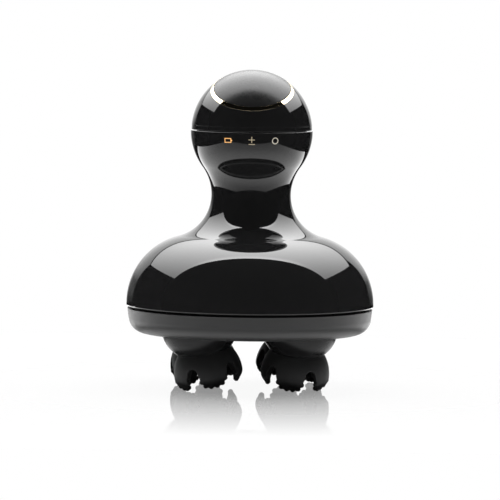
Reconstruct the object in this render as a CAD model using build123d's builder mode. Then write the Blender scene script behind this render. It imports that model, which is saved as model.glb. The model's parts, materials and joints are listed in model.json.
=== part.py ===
from build123d import *
import os
from math import acos, atan2, cos, degrees, hypot, pi, radians, sin, sqrt, tan

# Electric scalp massager: a ball grip on a waisted neck, over a wide base with four kneading heads.
# Every head turns about a vertical shaft and leans on it, so its claw sways as it turns.
# Millimetres and degrees. +Z is up, the front (indicator icons) faces -Y, the claws stand on Z = 0.

os.makedirs("parts", exist_ok=True)

# ---- gear train -------------------------------------------------------------------------------
GEAR_MODULE = 1.0  # four head gears and the two drive gears between them
GEAR_TEETH = 22
GEAR_WIDTH = 5.5
WHEEL_TEETH = 34  # upper rim of the left drive gear, turned by the motor's pinion
PINION_TEETH = 10
WHEEL_WIDTH = 4.0
WHEEL_LIFT = 1.0  # from the drive gear's top up to the wheel
PRESSURE_ANGLE = 20.0
TOOTH_SLIMMING = 0.18  # taken off each tooth's thickness, in modules, as backlash

# ---- kneading heads ---------------------------------------------------------------------------
HEAD_LEAN = 12.0
HEAD_SWING = 20.0  # clockwise, from the way to the base's middle to the way that a head leans
CUP_RADIUS = 15.7
CUP_WALL = 1.8
CUP_FLOOR = 2.6
CUP_FACE_DROP = 11.4  # from the cup's centre to the face that carries the claw
CUP_CROWN = 2.8  # from the cup's centre up to its rim
CLAW_LENGTH = 14.0
CLAW_FLARE = 3.1  # how far the bell widens below the cup
CLAW_WALL = 3.0
CLAW_ROOF = 4.0
CLAW_BELL = 9.4  # height over which the bell widens, down to where the toes curl in
CLAW_FINGERS = 5
FINGER_TURN = 18.0  # first finger, from the way to the base's middle
CLAW_INSET = 0.2  # from the edge of the cup's face in to the claw
CLAW_BULGE = 0.8  # how far the bell's side bows out
CLAW_HOLLOW_BULGE = 1.6
ROOF_CORNER_DROP = 1.0  # bevel between the claw's roof and wall
ROOF_CORNER_RUN = 1.2
ROOF_CORNER_INSET = 0.6
TOE_INSET = 2.4  # how far a toe's tip curls in from the bell's widest place
TOE_THICKNESS = 1.6
TOE_WIDTH = 6.8
TOE_CORNER_RISE = 2.4
TOE_CORNER_RUN = 1.8
TOE_CORNER_BULGE = 0.5
TOE_CORNER_DIP = 0.3  # how far the corner's curve runs on below the toe
GAP_ARCH_WIDTH = 3.8
GAP_TOP = 4.8  # below the cup's face
GAP_SHOULDER = 7.4
SCALLOP_RADIUS = 0.6
SCALLOP_SPREAD = 1.3  # from a finger's middle line
CLAW_SCREW_RADIUS = 1.5
CLAW_SCREW_DEPTH = 5.5  # into the cup, from its face
CLAW_SCREW_HEAD_RADIUS = 3.0
CLAW_SCREW_HEAD_HEIGHT = 1.6
CLAW_SCREW_KEY_RADIUS = 1.6
CLAW_SCREW_KEY_DEPTH = 1.1
CLAW_WASHER_RADIUS = 4.2
CLAW_WASHER_THICKNESS = 0.6

# ---- shafts, bearings and screws --------------------------------------------------------------
HEAD_SHAFT_RADIUS = 2.5
SHAFT_SINK = 4.0  # foot of the shaft, below the cup's centre
SHAFT_PROUD = 0.3  # beyond its clip
SHAFT_CHAMFER = 0.3
AXLE_RADIUS = 1.5
OUTPUT_SHAFT_RADIUS = 1.25
RUNNING_FIT = 0.05  # radial, between a shaft and what it turns in
PRESS_GAP = 0.02  # radial, between a shaft and what is fixed on it
BUSH_WALL = 1.25
SEAL_DEPTH = 0.8
SEAL_RADIUS = 4.6
BUSH_RISE = 1.5  # bush boss above the chassis plate
BUSH_BOSS_WALL = 1.7
AXLE_BOSS_WALL = 2.0
WHEEL_HUB_WALL = 3.0
AXLE_SHORTFALL = 0.5  # top of the axles, below the bridge's top
GEAR_LIFT = 0.5  # from the bush boss up to a gear
AXIAL_PLAY = 0.3
CLIP_GAP = 0.1
CLIP_THICKNESS = 0.6
CLIP_RADIUS = 4.1
PAN_SCREW_RADIUS = 1.5
PAN_SCREW_HEAD_RADIUS = 3.0
PAN_SCREW_HEAD_HEIGHT = 2.2
PAN_SCREW_SINK = 3.5
PAN_SCREW_GRIP = 8.0  # length in the housing's boss
SMALL_SCREW_RADIUS = 1.0
SMALL_HEAD_RADIUS = 1.9
SMALL_HEAD_HEIGHT = 1.3
SMALL_SCREW_GRIP = 4.5
MOTOR_HEAD_HEIGHT = 0.7
MOTOR_SCREW_GRIP = 3.0
MOTOR_SCREW_OFFSET = 8.0
SCREW_CLEARANCE = 0.15
HOLE_RESERVE = 0.5  # past the end of each screw

# ---- base -------------------------------------------------------------------------------------
CUP_SINK = 5.5  # pan underside, below the cups' centres
CUP_CLEARANCE = 0.35
PAN_FLOOR = 2.0
PAN_DEPTH = 10.9
PAN_CORNER = 6.5
PAN_DRAFT = 1.25  # how much narrower the pan is at its foot
PAN_STEP = 0.3  # how far the housing stands out over the pan
CUP_TO_LEDGE = 0.75
LEDGE_WIDTH = 2.2
LEDGE_DEPTH = 3.0  # below the pan's rim
SEAM_GAP = 0.3
WALL = 2.2
LIP_THICKNESS = 1.4
LIP_GAP = 0.4
LIP_ROOT = 0.6  # how far the lip's root reaches into the housing's wall
SEAL_HEIGHT = 1.3
CHASSIS_THICKNESS = 2.0
CHASSIS_GAP = 0.5  # to the housing's lip
CHASSIS_HEADROOM = 1.5  # over the cups' rims
PAN_SCREW_CIRCLE = 38.0
PAN_BOSS_RADIUS = 4.5
HOUSING_BOSS_RADIUS = 3.5

# ---- motor and cells --------------------------------------------------------------------------
MOTOR_RADIUS = 12.2
MOTOR_LENGTH = 30.8
MOTOR_EDGE = 1.2
MOTOR_BOSS_RADIUS = 4.5
TERMINAL_OFFSET = 8.0
TERMINAL_THICKNESS = 1.0
TERMINAL_WIDTH = 3.0
TERMINAL_HEIGHT = 1.5
MOTOR_RIB_THICKNESS = 1.6
MOTOR_RIB_MARGIN = 6.0  # from the ends of the motor to the ribs beside it
GEARHEAD_LENGTH = 12.0
OUTPUT_SHAFT_ENTRY = 3.8
OUTPUT_SHAFT_PROUD = 0.5
WHEEL_HEADROOM = 1.0
BRIDGE_THICKNESS = 2.0
BRIDGE_HALF_WIDTH = 12.0
BRIDGE_MARGIN = 7.0  # from the drive axles to the bridge's ends
BRIDGE_EAR_WALL = 0.8
BRIDGE_BORE_WALL = 2.0
BRIDGE_POST_RADIUS = 3.2
BRIDGE_POST_OFFSET = 28.0
CELL_RADIUS = 7.1
CELL_LENGTH = 48.5
CELL_CAP_RADIUS = 2.6
CELL_CAP_HEIGHT = 1.0
CELL_TO_GEARHEAD = 0.8
CELL_HEADROOM = 0.5  # over the ends of the head shafts
CRADLE_LENGTH = 18.0
CRADLE_FLOOR = 1.2
CRADLE_RELIEF = 1.0  # how far the cradle's edges stay below the cell's middle
CRADLE_POST_RADIUS = 4.0
LEAD_RADIUS = 0.5
LEAD_GAP = 0.3
LEAD_RISE = 8.0  # above the gearhead, where the leads turn up beside the motor
LEAD_BEND = 10.0

# ---- housing outline --------------------------------------------------------------------------
SHOULDER_RADIUS = 27.9  # radius of the dome's side in section
SHOULDER_RISE = 0.7  # widest level above the housing's foot
NECK_CLEARANCE = 1.55  # between motor and neck
MOTOR_TO_BALL = 11.2  # from the motor's top up to the ball's centre
WAIST_DROP = 25.8  # from the ball's centre down to the waist
BALL_RADIUS = 24.5
COVER_STEP = 0.25  # the top cover is this much smaller than the ball
COVER_GAP = 0.3
COVER_LIP = 1.1
COVER_LIP_DEPTH = 1.8
COVER_LIP_GAP = 0.2
COVER_LIP_ROOT = 0.3
COVER_LIP_SHOULDER = 1.5

# ---- power button, on an axis that leans to the front -----------------------------------------
BUTTON_LEAN = 26.0
BUTTON_RADIUS = 15.3
BUTTON_GAP = 0.15
BUTTON_TRAVEL = 0.8
BUTTON_THICKNESS = 1.8
RING_WIDTH = 1.15
RING_HEIGHT = 2.08  # at the ring's outer edge
WELL_DEPTH = 3.2  # from the ring's seat down to the well's floor
WELL_FLOOR = 1.4
WELL_WALL = 0.7
WELL_GAP = 0.15
SKIRT_DROP = 0.6  # foot of the skirt, below the ring's seat
SKIRT_THICKNESS = 1.4
PLUNGER_RADIUS = 2.0
PLUNGER_GAP = 0.1
BOARD_RADIUS = 9.0
BOARD_THICKNESS = 1.2
WIRE_HOLE_RADIUS = 1.5
WIRE_HOLE_MARGIN = 0.5
SWITCH_SIZE = 6.0
SWITCH_HEIGHT = 3.5
SWITCH_NIB = 1.0
SWITCH_NIB_RADIUS = 1.7

# ---- electronics in the ball ------------------------------------------------------------------
PCB_DROP = 5.0  # underside of the board, below the ball's centre
PCB_THICKNESS = 1.6
PCB_MARGIN = 1.5  # from the board's edge to the wall
PCB_SCREW_MARGIN = 2.93  # from the board's edge to its screws
PCB_BOSS_RADIUS = 2.4
PCB_BOSS_DEPTH = 10.0
CHIP_SIZE = 7.0
CHIP_HEIGHT = 1.2
CHIP_PLACE = (-6.0, 4.0)
COIL_SIZE = (5.0, 4.0)
COIL_PLACES = ((7.0, 6.0), (7.0, -3.0))
RESISTOR_SIZE = (2.0, 1.2)
RESISTOR_PITCH = 4.0
ICON_SPREAD = 22.5  # degrees between the indicator lights
LED_DEPTH = 1.6
LED_WIDTH = 2.0
LED_HEIGHT = 0.8
LED_MARGIN = 1.0
GUIDE_SWEEP = 31.5  # degrees to each side of the middle light
GUIDE_GAP = 0.3
GUIDE_TO_WALL = 0.8
GUIDE_LIFT = 0.2
SOCKET_WIDTH = 8.94
SOCKET_HEIGHT = 3.2
SOCKET_LENGTH = 7.3
SOCKET_WALL = 0.3
SOCKET_BACK = 1.2
SOCKET_SETBACK = 1.1  # mouth of the socket, inside the wall
TONGUE_WIDTH = 6.6
TONGUE_THICKNESS = 0.7
TONGUE_SETBACK = 0.8
PORT_CLEARANCE = 0.25
PORT_PAD_WIDTH = 15.0
PORT_PAD_MARGIN = 0.7
FLAP_WIDTH = 12.0
FLAP_HEIGHT = 6.4
FLAP_CORNER = 1.2
FLAP_THICKNESS = 1.2
FLAP_SINK = 0.1  # below the ball's surface
FLAP_SEAT_GAP = 0.05
FLAP_HINGE_RADIUS = 0.9
HINGE_SINK = 0.2
HINGE_NOTCH_MARGIN = 1.0  # from the flap's sides in to the notch for its hinge
HINGE_PLAY = 0.4
HINGE_CLEARANCE = 0.15

# ---- levels and radii that follow -------------------------------------------------------------
gear_radius = GEAR_MODULE * GEAR_TEETH / 2
head_offset = gear_radius * (1 + sqrt(7)) / 2  # puts each head one mesh away from its drive gear
wheel_module = 2 * gear_radius / (WHEEL_TEETH + PINION_TEETH)
cup_face_radius = sqrt(CUP_RADIUS**2 - CUP_FACE_DROP**2)
claw_root_radius = cup_face_radius - CLAW_INSET
claw_tip_radius = claw_root_radius + CLAW_FLARE
claw_foot = -CUP_FACE_DROP - CLAW_LENGTH
toe_height = CLAW_LENGTH - CLAW_BELL
toe_curl = (TOE_INSET**2 + toe_height**2) / (2 * TOE_INSET)
toe_radius = claw_tip_radius - TOE_INSET
gap_foot_width = 2 * toe_radius * sin(pi / CLAW_FINGERS) - TOE_WIDTH * cos(pi / CLAW_FINGERS)
bush_radius = HEAD_SHAFT_RADIUS + RUNNING_FIT + BUSH_WALL

ledge_radius = hypot(head_offset, head_offset) + CUP_RADIUS + CUP_TO_LEDGE
pan_inner_radius = ledge_radius + LEDGE_WIDTH
pan_radius = pan_inner_radius + WALL
base_radius = pan_radius + PAN_STEP


# ---- small helpers ----------------------------------------------------------------------------
def arc(centre, start, end):
    """Draw the arc from start to end about centre."""
    radius = (start - centre).length
    middle = centre + ((start + end) / 2 - centre).normalized() * radius
    return ThreePointArc(start, middle, end)


def on_circle(centre, radius, height):
    """The point of a circle at a given height, on the side away from the axis."""
    return Vector(centre.X + sqrt(radius**2 - (height - centre.Y) ** 2), height)


def section_plane(plane):
    """The plane through a frame's axis: across is its x, up is its axis."""
    return Plane(origin=plane.origin, x_dir=plane.x_dir, z_dir=-plane.y_dir)


def spoke_plane(angle):
    """A plane that faces outwards in a direction about Z: its x runs across, its y up."""
    outwards = Vector(cos(radians(angle)), sin(radians(angle)), 0)
    across = Vector(-sin(radians(angle)), cos(radians(angle)), 0)
    return Plane(origin=(0, 0, 0), x_dir=across, z_dir=outwards)


def tube(plane, inner, outer, height):
    """Add a tube that stands on a plane."""
    with BuildSketch(plane) as wall:
        Circle(outer)
        Circle(inner, mode=Mode.SUBTRACT)
    extrude(wall.sketch, amount=height)


def involute(angle):
    """The involute function of an angle in radians."""
    return tan(angle) - angle


def tooth_outline(module, teeth, turn):
    """Draw a spur gear's outline of involute teeth, one of them centred on the direction turn."""
    pitch = module * teeth / 2
    base = pitch * cos(radians(PRESSURE_ANGLE))
    root = pitch - 1.25 * module
    base_half = (pi - TOOTH_SLIMMING * 2) / (2 * teeth) + involute(radians(PRESSURE_ANGLE))
    flank = [(root, base_half)]
    for radius in (base, pitch, pitch + module):
        flank.append((radius, base_half - involute(acos(base / radius))))
    first = last = None
    for tooth in range(teeth):
        middle = radians(turn + tooth * 360 / teeth)
        rise = [Vector(radius * cos(middle - half), radius * sin(middle - half)) for radius, half in flank]
        fall = [Vector(radius * cos(middle + half), radius * sin(middle + half)) for radius, half in flank]
        if last is not None:
            Line(last, rise[0])
        first = first or rise[0]
        Line(rise[0], rise[1])
        ThreePointArc(*rise[1:])
        Line(rise[3], fall[3])
        ThreePointArc(*reversed(fall[1:]))
        Line(fall[1], fall[0])
        last = fall[0]
    Line(last, first)


def gear_rim(plane, module, teeth, turn, width):
    """Add a spur gear's toothed body on a plane."""
    with BuildSketch(plane) as rim:
        with BuildLine():
            tooth_outline(module, teeth, turn)
        make_face()
    extrude(rim.sketch, amount=width)


def meshing_turn(turn, teeth, place, other_place, other_teeth):
    """The turn of a gear that meshes with a gear of known turn."""
    bearing = degrees(atan2(other_place[1] - place[1], other_place[0] - place[0]))
    share = (bearing - turn) * teeth / 360
    return bearing + 180 - (0.5 - share) * 360 / other_teeth


def screw(plane, radius, length, head_radius, head_height):
    """Add a pan-head screw: the shank goes down from the plane, the head stands on it."""
    with BuildSketch(plane) as head:
        Circle(head_radius)
    extrude(head.sketch, amount=head_height)
    with BuildSketch(plane) as shank:
        Circle(radius)
    extrude(shank.sketch, amount=-length)


def save(part, name):
    """Label a finished piece and write it."""
    part.label = name
    export_step(part, f"parts/{name}.step")


# ---- the head's own pieces, about the cup's centre, leaning towards +X -------------------------
lean_plane = Plane(
    origin=(0, 0, 0),
    x_dir=(cos(radians(HEAD_LEAN)), 0, sin(radians(HEAD_LEAN))),
    z_dir=(-sin(radians(HEAD_LEAN)), 0, cos(radians(HEAD_LEAN))),
)

with BuildPart() as cup:
    Sphere(CUP_RADIUS)
    split(bisect_by=Plane.XY.offset(CUP_CROWN), keep=Keep.BOTTOM)
    split(bisect_by=lean_plane.offset(-CUP_FACE_DROP), keep=Keep.TOP)
    with BuildPart(mode=Mode.PRIVATE) as cup_hollow:
        Sphere(CUP_RADIUS - CUP_WALL)
        split(bisect_by=lean_plane.offset(CUP_FLOOR - CUP_FACE_DROP), keep=Keep.TOP)
        Cylinder(SEAL_RADIUS, 4 * CUP_RADIUS, mode=Mode.SUBTRACT)
    add(cup_hollow.part, mode=Mode.SUBTRACT)
    with BuildSketch(Plane.XY.offset(-SHAFT_SINK)):
        Circle(HEAD_SHAFT_RADIUS + PRESS_GAP)
    extrude(amount=CUP_RADIUS, mode=Mode.SUBTRACT)
    with BuildSketch(lean_plane.offset(-CUP_FACE_DROP)):
        Circle(CLAW_SCREW_RADIUS + PRESS_GAP)
    extrude(amount=CLAW_SCREW_DEPTH, mode=Mode.SUBTRACT)

# the silicone claw: a bell, cut into fingers, in its own upright frame
with BuildPart() as straight_claw:
    bell_top = Vector(claw_root_radius, -CUP_FACE_DROP)
    bell_side = Vector(claw_tip_radius, -CUP_FACE_DROP - CLAW_BELL)
    toe_foot = Vector(toe_radius, claw_foot)
    inner_foot = Vector(toe_radius - TOE_THICKNESS, claw_foot)
    inner_top = Vector(claw_root_radius - CLAW_WALL + ROOF_CORNER_INSET,
                       -CUP_FACE_DROP - CLAW_ROOF - ROOF_CORNER_DROP)
    roof_edge = Vector(inner_top.X - ROOF_CORNER_RUN, -CUP_FACE_DROP - CLAW_ROOF)
    roof_bore = Vector(CLAW_SCREW_RADIUS + SCREW_CLEARANCE, roof_edge.Y)
    with BuildSketch(Plane.XZ):
        with BuildLine():
            Line(Vector(roof_bore.X, bell_top.Y), bell_top)
            SagittaArc(bell_top, bell_side, -CLAW_BULGE)
            arc(bell_side - Vector(toe_curl, 0), bell_side, toe_foot)
            Line(toe_foot, inner_foot)
            SagittaArc(inner_foot, inner_top, CLAW_HOLLOW_BULGE)
            Line(inner_top, roof_edge)
            Line(roof_edge, roof_bore)
            Line(roof_bore, Vector(roof_bore.X, bell_top.Y))
        make_face()
    revolve(axis=Axis.Z)
    for finger in range(CLAW_FINGERS):
        with BuildSketch(spoke_plane((finger + 0.5) * 360 / CLAW_FINGERS)):
            with BuildLine():
                arch_top = Vector(0, -CUP_FACE_DROP - GAP_TOP)
                shoulder = Vector(GAP_ARCH_WIDTH / 2, -CUP_FACE_DROP - GAP_SHOULDER)
                corner_top = Vector(gap_foot_width / 2, claw_foot + TOE_CORNER_RISE)
                corner_end = Vector(gap_foot_width / 2 + TOE_CORNER_RUN, claw_foot - TOE_CORNER_DIP)
                ThreePointArc(Vector(-shoulder.X, shoulder.Y), arch_top, shoulder)
                for side in (-1, 1):
                    Line(Vector(side * shoulder.X, shoulder.Y), Vector(side * corner_top.X, corner_top.Y))
                    SagittaArc(Vector(side * corner_top.X, corner_top.Y),
                               Vector(side * corner_end.X, corner_end.Y), side * TOE_CORNER_BULGE)
                Line(Vector(-corner_end.X, corner_end.Y), corner_end)
            make_face()
        extrude(amount=2 * claw_tip_radius, mode=Mode.SUBTRACT)
    for finger in range(CLAW_FINGERS):
        with BuildSketch(spoke_plane(finger * 360 / CLAW_FINGERS)):
            with Locations((-SCALLOP_SPREAD, claw_foot), (SCALLOP_SPREAD, claw_foot)):
                Circle(SCALLOP_RADIUS)
        extrude(amount=2 * claw_tip_radius, mode=Mode.SUBTRACT)


def leaning_claw(turn):
    """The claw on a head that leans towards +X, with a finger at a turn from there."""
    with BuildPart() as claw:
        with Locations(lean_plane.location * Location((0, 0, 0), (0, 0, turn))):
            add(straight_claw.part)
    return claw.part


with BuildPart() as claw_screw:
    face_plane = lean_plane.offset(-CUP_FACE_DROP)
    washer_plane = face_plane.offset(-CLAW_ROOF - CLAW_WASHER_THICKNESS)
    head_plane = washer_plane.offset(-CLAW_SCREW_HEAD_HEIGHT)
    tube(washer_plane, CLAW_SCREW_RADIUS, CLAW_WASHER_RADIUS, CLAW_WASHER_THICKNESS)
    with BuildSketch(head_plane):
        Circle(CLAW_SCREW_HEAD_RADIUS)
    extrude(amount=CLAW_SCREW_HEAD_HEIGHT)
    with BuildSketch(washer_plane):
        Circle(CLAW_SCREW_RADIUS)
    extrude(amount=CLAW_WASHER_THICKNESS + CLAW_ROOF + CLAW_SCREW_DEPTH - SCREW_CLEARANCE)
    with BuildSketch(head_plane):
        RegularPolygon(CLAW_SCREW_KEY_RADIUS, 6)
    extrude(amount=CLAW_SCREW_KEY_DEPTH, mode=Mode.SUBTRACT)

# ---- levels, from the table up ----------------------------------------------------------------
claw_turns = {-1: HEAD_SWING - FINGER_TURN, 1: HEAD_SWING + FINGER_TURN}  # by the diagonal that a head is on
cup_level = max(-leaning_claw(turn).bounding_box().min.Z for turn in claw_turns.values())
pan_foot = cup_level - CUP_SINK
pan_rim = pan_foot + PAN_DEPTH
ledge_level = pan_rim - LEDGE_DEPTH
housing_foot = pan_rim + SEAM_GAP
chassis_foot = cup_level + CUP_CROWN + CHASSIS_HEADROOM
chassis_top = chassis_foot + CHASSIS_THICKNESS
bush_top = chassis_top + BUSH_RISE
gear_level = bush_top + GEAR_LIFT
gear_top = gear_level + GEAR_WIDTH
wheel_level = gear_top + WHEEL_LIFT
wheel_top = wheel_level + WHEEL_WIDTH
clip_level = gear_top + CLIP_GAP
shaft_top = clip_level + CLIP_THICKNESS + SHAFT_PROUD
bridge_level = wheel_top + WHEEL_HEADROOM
gearhead_level = bridge_level + BRIDGE_THICKNESS
motor_level = gearhead_level + GEARHEAD_LENGTH
motor_top = motor_level + MOTOR_LENGTH
ball_level = motor_top + MOTOR_TO_BALL
waist_level = ball_level - WAIST_DROP
cell_level = shaft_top + CELL_HEADROOM + CELL_RADIUS
cell_offset = MOTOR_RADIUS + CELL_TO_GEARHEAD + CELL_RADIUS
pcb_level = ball_level - PCB_DROP
pcb_top = pcb_level + PCB_THICKNESS
pcb_radius = sqrt((BALL_RADIUS - WALL) ** 2 - PCB_DROP**2) - PCB_MARGIN
pcb_screw_circle = pcb_radius - PCB_SCREW_MARGIN

heads = {
    "front_left": (-head_offset, -head_offset),
    "front_right": (head_offset, -head_offset),
    "rear_left": (-head_offset, head_offset),
    "rear_right": (head_offset, head_offset),
}
drive_left = (-gear_radius, 0)
drive_right = (gear_radius, 0)
pan_screw_places = [(PAN_SCREW_CIRCLE * side, 0) for side in (-1, 1)]
pan_screw_places += [(0, PAN_SCREW_CIRCLE * side) for side in (-1, 1)]
bridge_post_places = [(-BRIDGE_POST_OFFSET, 0), (BRIDGE_POST_OFFSET, 0)]
motor_screw_places = [(0, -MOTOR_SCREW_OFFSET), (0, MOTOR_SCREW_OFFSET)]
terminal_places = [(-TERMINAL_OFFSET, 0), (TERMINAL_OFFSET, 0)]

# the housing's outline in section: ball, upper neck, lower neck and shoulder, each tangent to the next
waist_radius = MOTOR_RADIUS + NECK_CLEARANCE + WALL
ball_centre = Vector(0, ball_level)
shoulder_centre = Vector(base_radius - SHOULDER_RADIUS, housing_foot + SHOULDER_RISE)
upper_neck = (WAIST_DROP**2 / (BALL_RADIUS - waist_radius) - (BALL_RADIUS + waist_radius)) / 2
across = waist_radius - shoulder_centre.X
upwards = waist_level - shoulder_centre.Y
lower_neck = (across**2 + upwards**2 - SHOULDER_RADIUS**2) / (2 * (SHOULDER_RADIUS - across))
upper_neck_centre = Vector(waist_radius + upper_neck, waist_level)
lower_neck_centre = Vector(waist_radius + lower_neck, waist_level)


def housing_outline(inset):
    """Draw the housing's outline from foot to seam, set in by a thickness; gives its two ends."""
    ball = BALL_RADIUS - inset
    shoulder = SHOULDER_RADIUS - inset
    foot = on_circle(shoulder_centre, shoulder, housing_foot)
    flank = shoulder_centre + (lower_neck_centre - shoulder_centre).normalized() * shoulder
    waist = Vector(waist_radius - inset, waist_level)
    nape = ball_centre + (upper_neck_centre - ball_centre).normalized() * ball
    seam = on_circle(ball_centre, ball, ball_level)
    arc(shoulder_centre, foot, flank)
    arc(lower_neck_centre, flank, waist)
    arc(upper_neck_centre, waist, nape)
    arc(ball_centre, nape, seam)
    return foot, seam


def trim_to_housing(inset):
    """Keep only what lies inside the housing's outline, set in by a thickness."""
    with BuildSketch(Plane.XZ) as half_section:
        with BuildLine():
            foot, seam = housing_outline(inset)
            below = Vector(foot.X, 0)
            Line(seam, Vector(0, seam.Y))
            Line(Vector(0, seam.Y), Vector(0, 0))
            Line(Vector(0, 0), below)
            Line(below, foot)
        make_face()
    revolve(half_section.sketch, axis=Axis.Z, mode=Mode.INTERSECT)


# ---- frames of the button and of the charging port --------------------------------------------
button_plane = Plane(
    origin=(0, 0, ball_level),
    x_dir=(1, 0, 0),
    z_dir=(0, -sin(radians(BUTTON_LEAN)), cos(radians(BUTTON_LEAN))),
)
cover_radius = BALL_RADIUS - COVER_STEP
ring_inner = BUTTON_RADIUS + BUTTON_GAP
ring_outer = ring_inner + RING_WIDTH
ring_seat_rise = sqrt(cover_radius**2 - ring_outer**2) - RING_HEIGHT
well_floor_top = ring_seat_rise - WELL_DEPTH
well_floor_rise = well_floor_top - WELL_FLOOR
well_radius = ring_inner + WELL_GAP
well_outer = ring_outer + WELL_WALL
skirt_foot = ring_seat_rise - SKIRT_DROP
socket_level = pcb_level - SOCKET_HEIGHT / 2
socket_mouth = BALL_RADIUS - WALL - SOCKET_SETBACK
port_dip = (ball_level - socket_level) / BALL_RADIUS  # sine of the port's direction below level
port_reach = sqrt(1 - port_dip**2)
port_plane = Plane(origin=(0, 0, ball_level), x_dir=(-1, 0, 0), z_dir=(0, port_reach, -port_dip))
flap_outer = BALL_RADIUS - FLAP_SINK
flap_seat = flap_outer - FLAP_THICKNESS
hinge_rise = flap_outer - FLAP_HINGE_RADIUS - HINGE_SINK
hinge_drop = FLAP_HEIGHT / 2 + FLAP_HINGE_RADIUS / 2
hinge_plane = Plane(
    origin=port_plane.from_local_coords((0, -hinge_drop, hinge_rise)),
    x_dir=port_plane.y_dir,
    z_dir=port_plane.x_dir,
)

# ---- main housing -----------------------------------------------------------------------------
with BuildPart() as housing_insides:
    with BuildSketch(Plane.XY.offset(chassis_top)):
        with Locations(*pan_screw_places):
            Circle(HOUSING_BOSS_RADIUS)
    extrude(amount=waist_level - chassis_top)
    with BuildSketch(Plane.XY.offset(motor_level + MOTOR_RIB_MARGIN)):
        for rib in range(4):
            with Locations(Rot(Z=45 + 90 * rib) * Pos(MOTOR_RADIUS + AXIAL_PLAY, 0)):
                Rectangle(waist_radius, MOTOR_RIB_THICKNESS, align=(Align.MIN, Align.CENTER))
    extrude(amount=MOTOR_LENGTH - MOTOR_RIB_MARGIN)
    with BuildSketch(Plane.XY.offset(pcb_level - PCB_BOSS_DEPTH)):
        with PolarLocations(pcb_screw_circle, 4, start_angle=45):
            Circle(PCB_BOSS_RADIUS)
    extrude(amount=PCB_BOSS_DEPTH)
    with BuildSketch(port_plane.offset(socket_mouth)):
        with Locations((0, -hinge_drop / 2)):
            RectangleRounded(PORT_PAD_WIDTH, FLAP_HEIGHT + hinge_drop + 2 * PORT_PAD_MARGIN, FLAP_CORNER)
    extrude(amount=WALL)
    trim_to_housing(WALL / 2)

lip_radius = pan_inner_radius - LIP_GAP
with BuildPart() as main_housing:
    with BuildSketch(Plane.XZ):
        with BuildLine():
            outer_ends = housing_outline(0)
            inner_ends = housing_outline(WALL)
            for outer_end, inner_end in zip(outer_ends, inner_ends):
                Line(outer_end, inner_end)
        make_face()
    revolve(axis=Axis.Z)
    tube(Plane.XY.offset(housing_foot), lip_radius - LIP_THICKNESS, pan_inner_radius + LIP_ROOT, WALL)
    tube(Plane.XY.offset(ledge_level + SEAL_HEIGHT), lip_radius - LIP_THICKNESS, lip_radius,
         housing_foot - ledge_level - SEAL_HEIGHT)
    add(housing_insides.part)
    with BuildSketch(Plane.XY.offset(chassis_top)):
        with Locations(*pan_screw_places):
            Circle(PAN_SCREW_RADIUS + PRESS_GAP)
    extrude(amount=PAN_SCREW_GRIP + HOLE_RESERVE, mode=Mode.SUBTRACT)
    with BuildSketch(Plane.XY.offset(pcb_level)):
        with PolarLocations(pcb_screw_circle, 4, start_angle=45):
            Circle(SMALL_SCREW_RADIUS + PRESS_GAP)
    extrude(amount=-SMALL_SCREW_GRIP - HOLE_RESERVE, mode=Mode.SUBTRACT)
    with BuildSketch(port_plane.offset(flap_seat - FLAP_SEAT_GAP)):
        RectangleRounded(FLAP_WIDTH + 2 * PORT_CLEARANCE, FLAP_HEIGHT + 2 * PORT_CLEARANCE,
                         FLAP_CORNER + PORT_CLEARANCE)
        with Locations((0, -hinge_drop)):
            Rectangle(FLAP_WIDTH - 2 * HINGE_NOTCH_MARGIN, 2 * FLAP_HINGE_RADIUS + HINGE_NOTCH_MARGIN)
    extrude(amount=WALL * 2, mode=Mode.SUBTRACT)
    with BuildSketch(hinge_plane):
        Circle(FLAP_HINGE_RADIUS + HINGE_CLEARANCE)
    extrude(amount=FLAP_WIDTH / 2 - HINGE_NOTCH_MARGIN, both=True, mode=Mode.SUBTRACT)
    with BuildSketch(Plane.XZ.offset(-BALL_RADIUS)):
        with Locations((0, socket_level)):
            RectangleRounded(SOCKET_WIDTH + 2 * PORT_CLEARANCE, SOCKET_HEIGHT + 2 * PORT_CLEARANCE,
                             SOCKET_HEIGHT / 2)
    extrude(amount=2 * WALL + SOCKET_SETBACK, mode=Mode.SUBTRACT)
save(main_housing.part, "main_housing")

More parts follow.
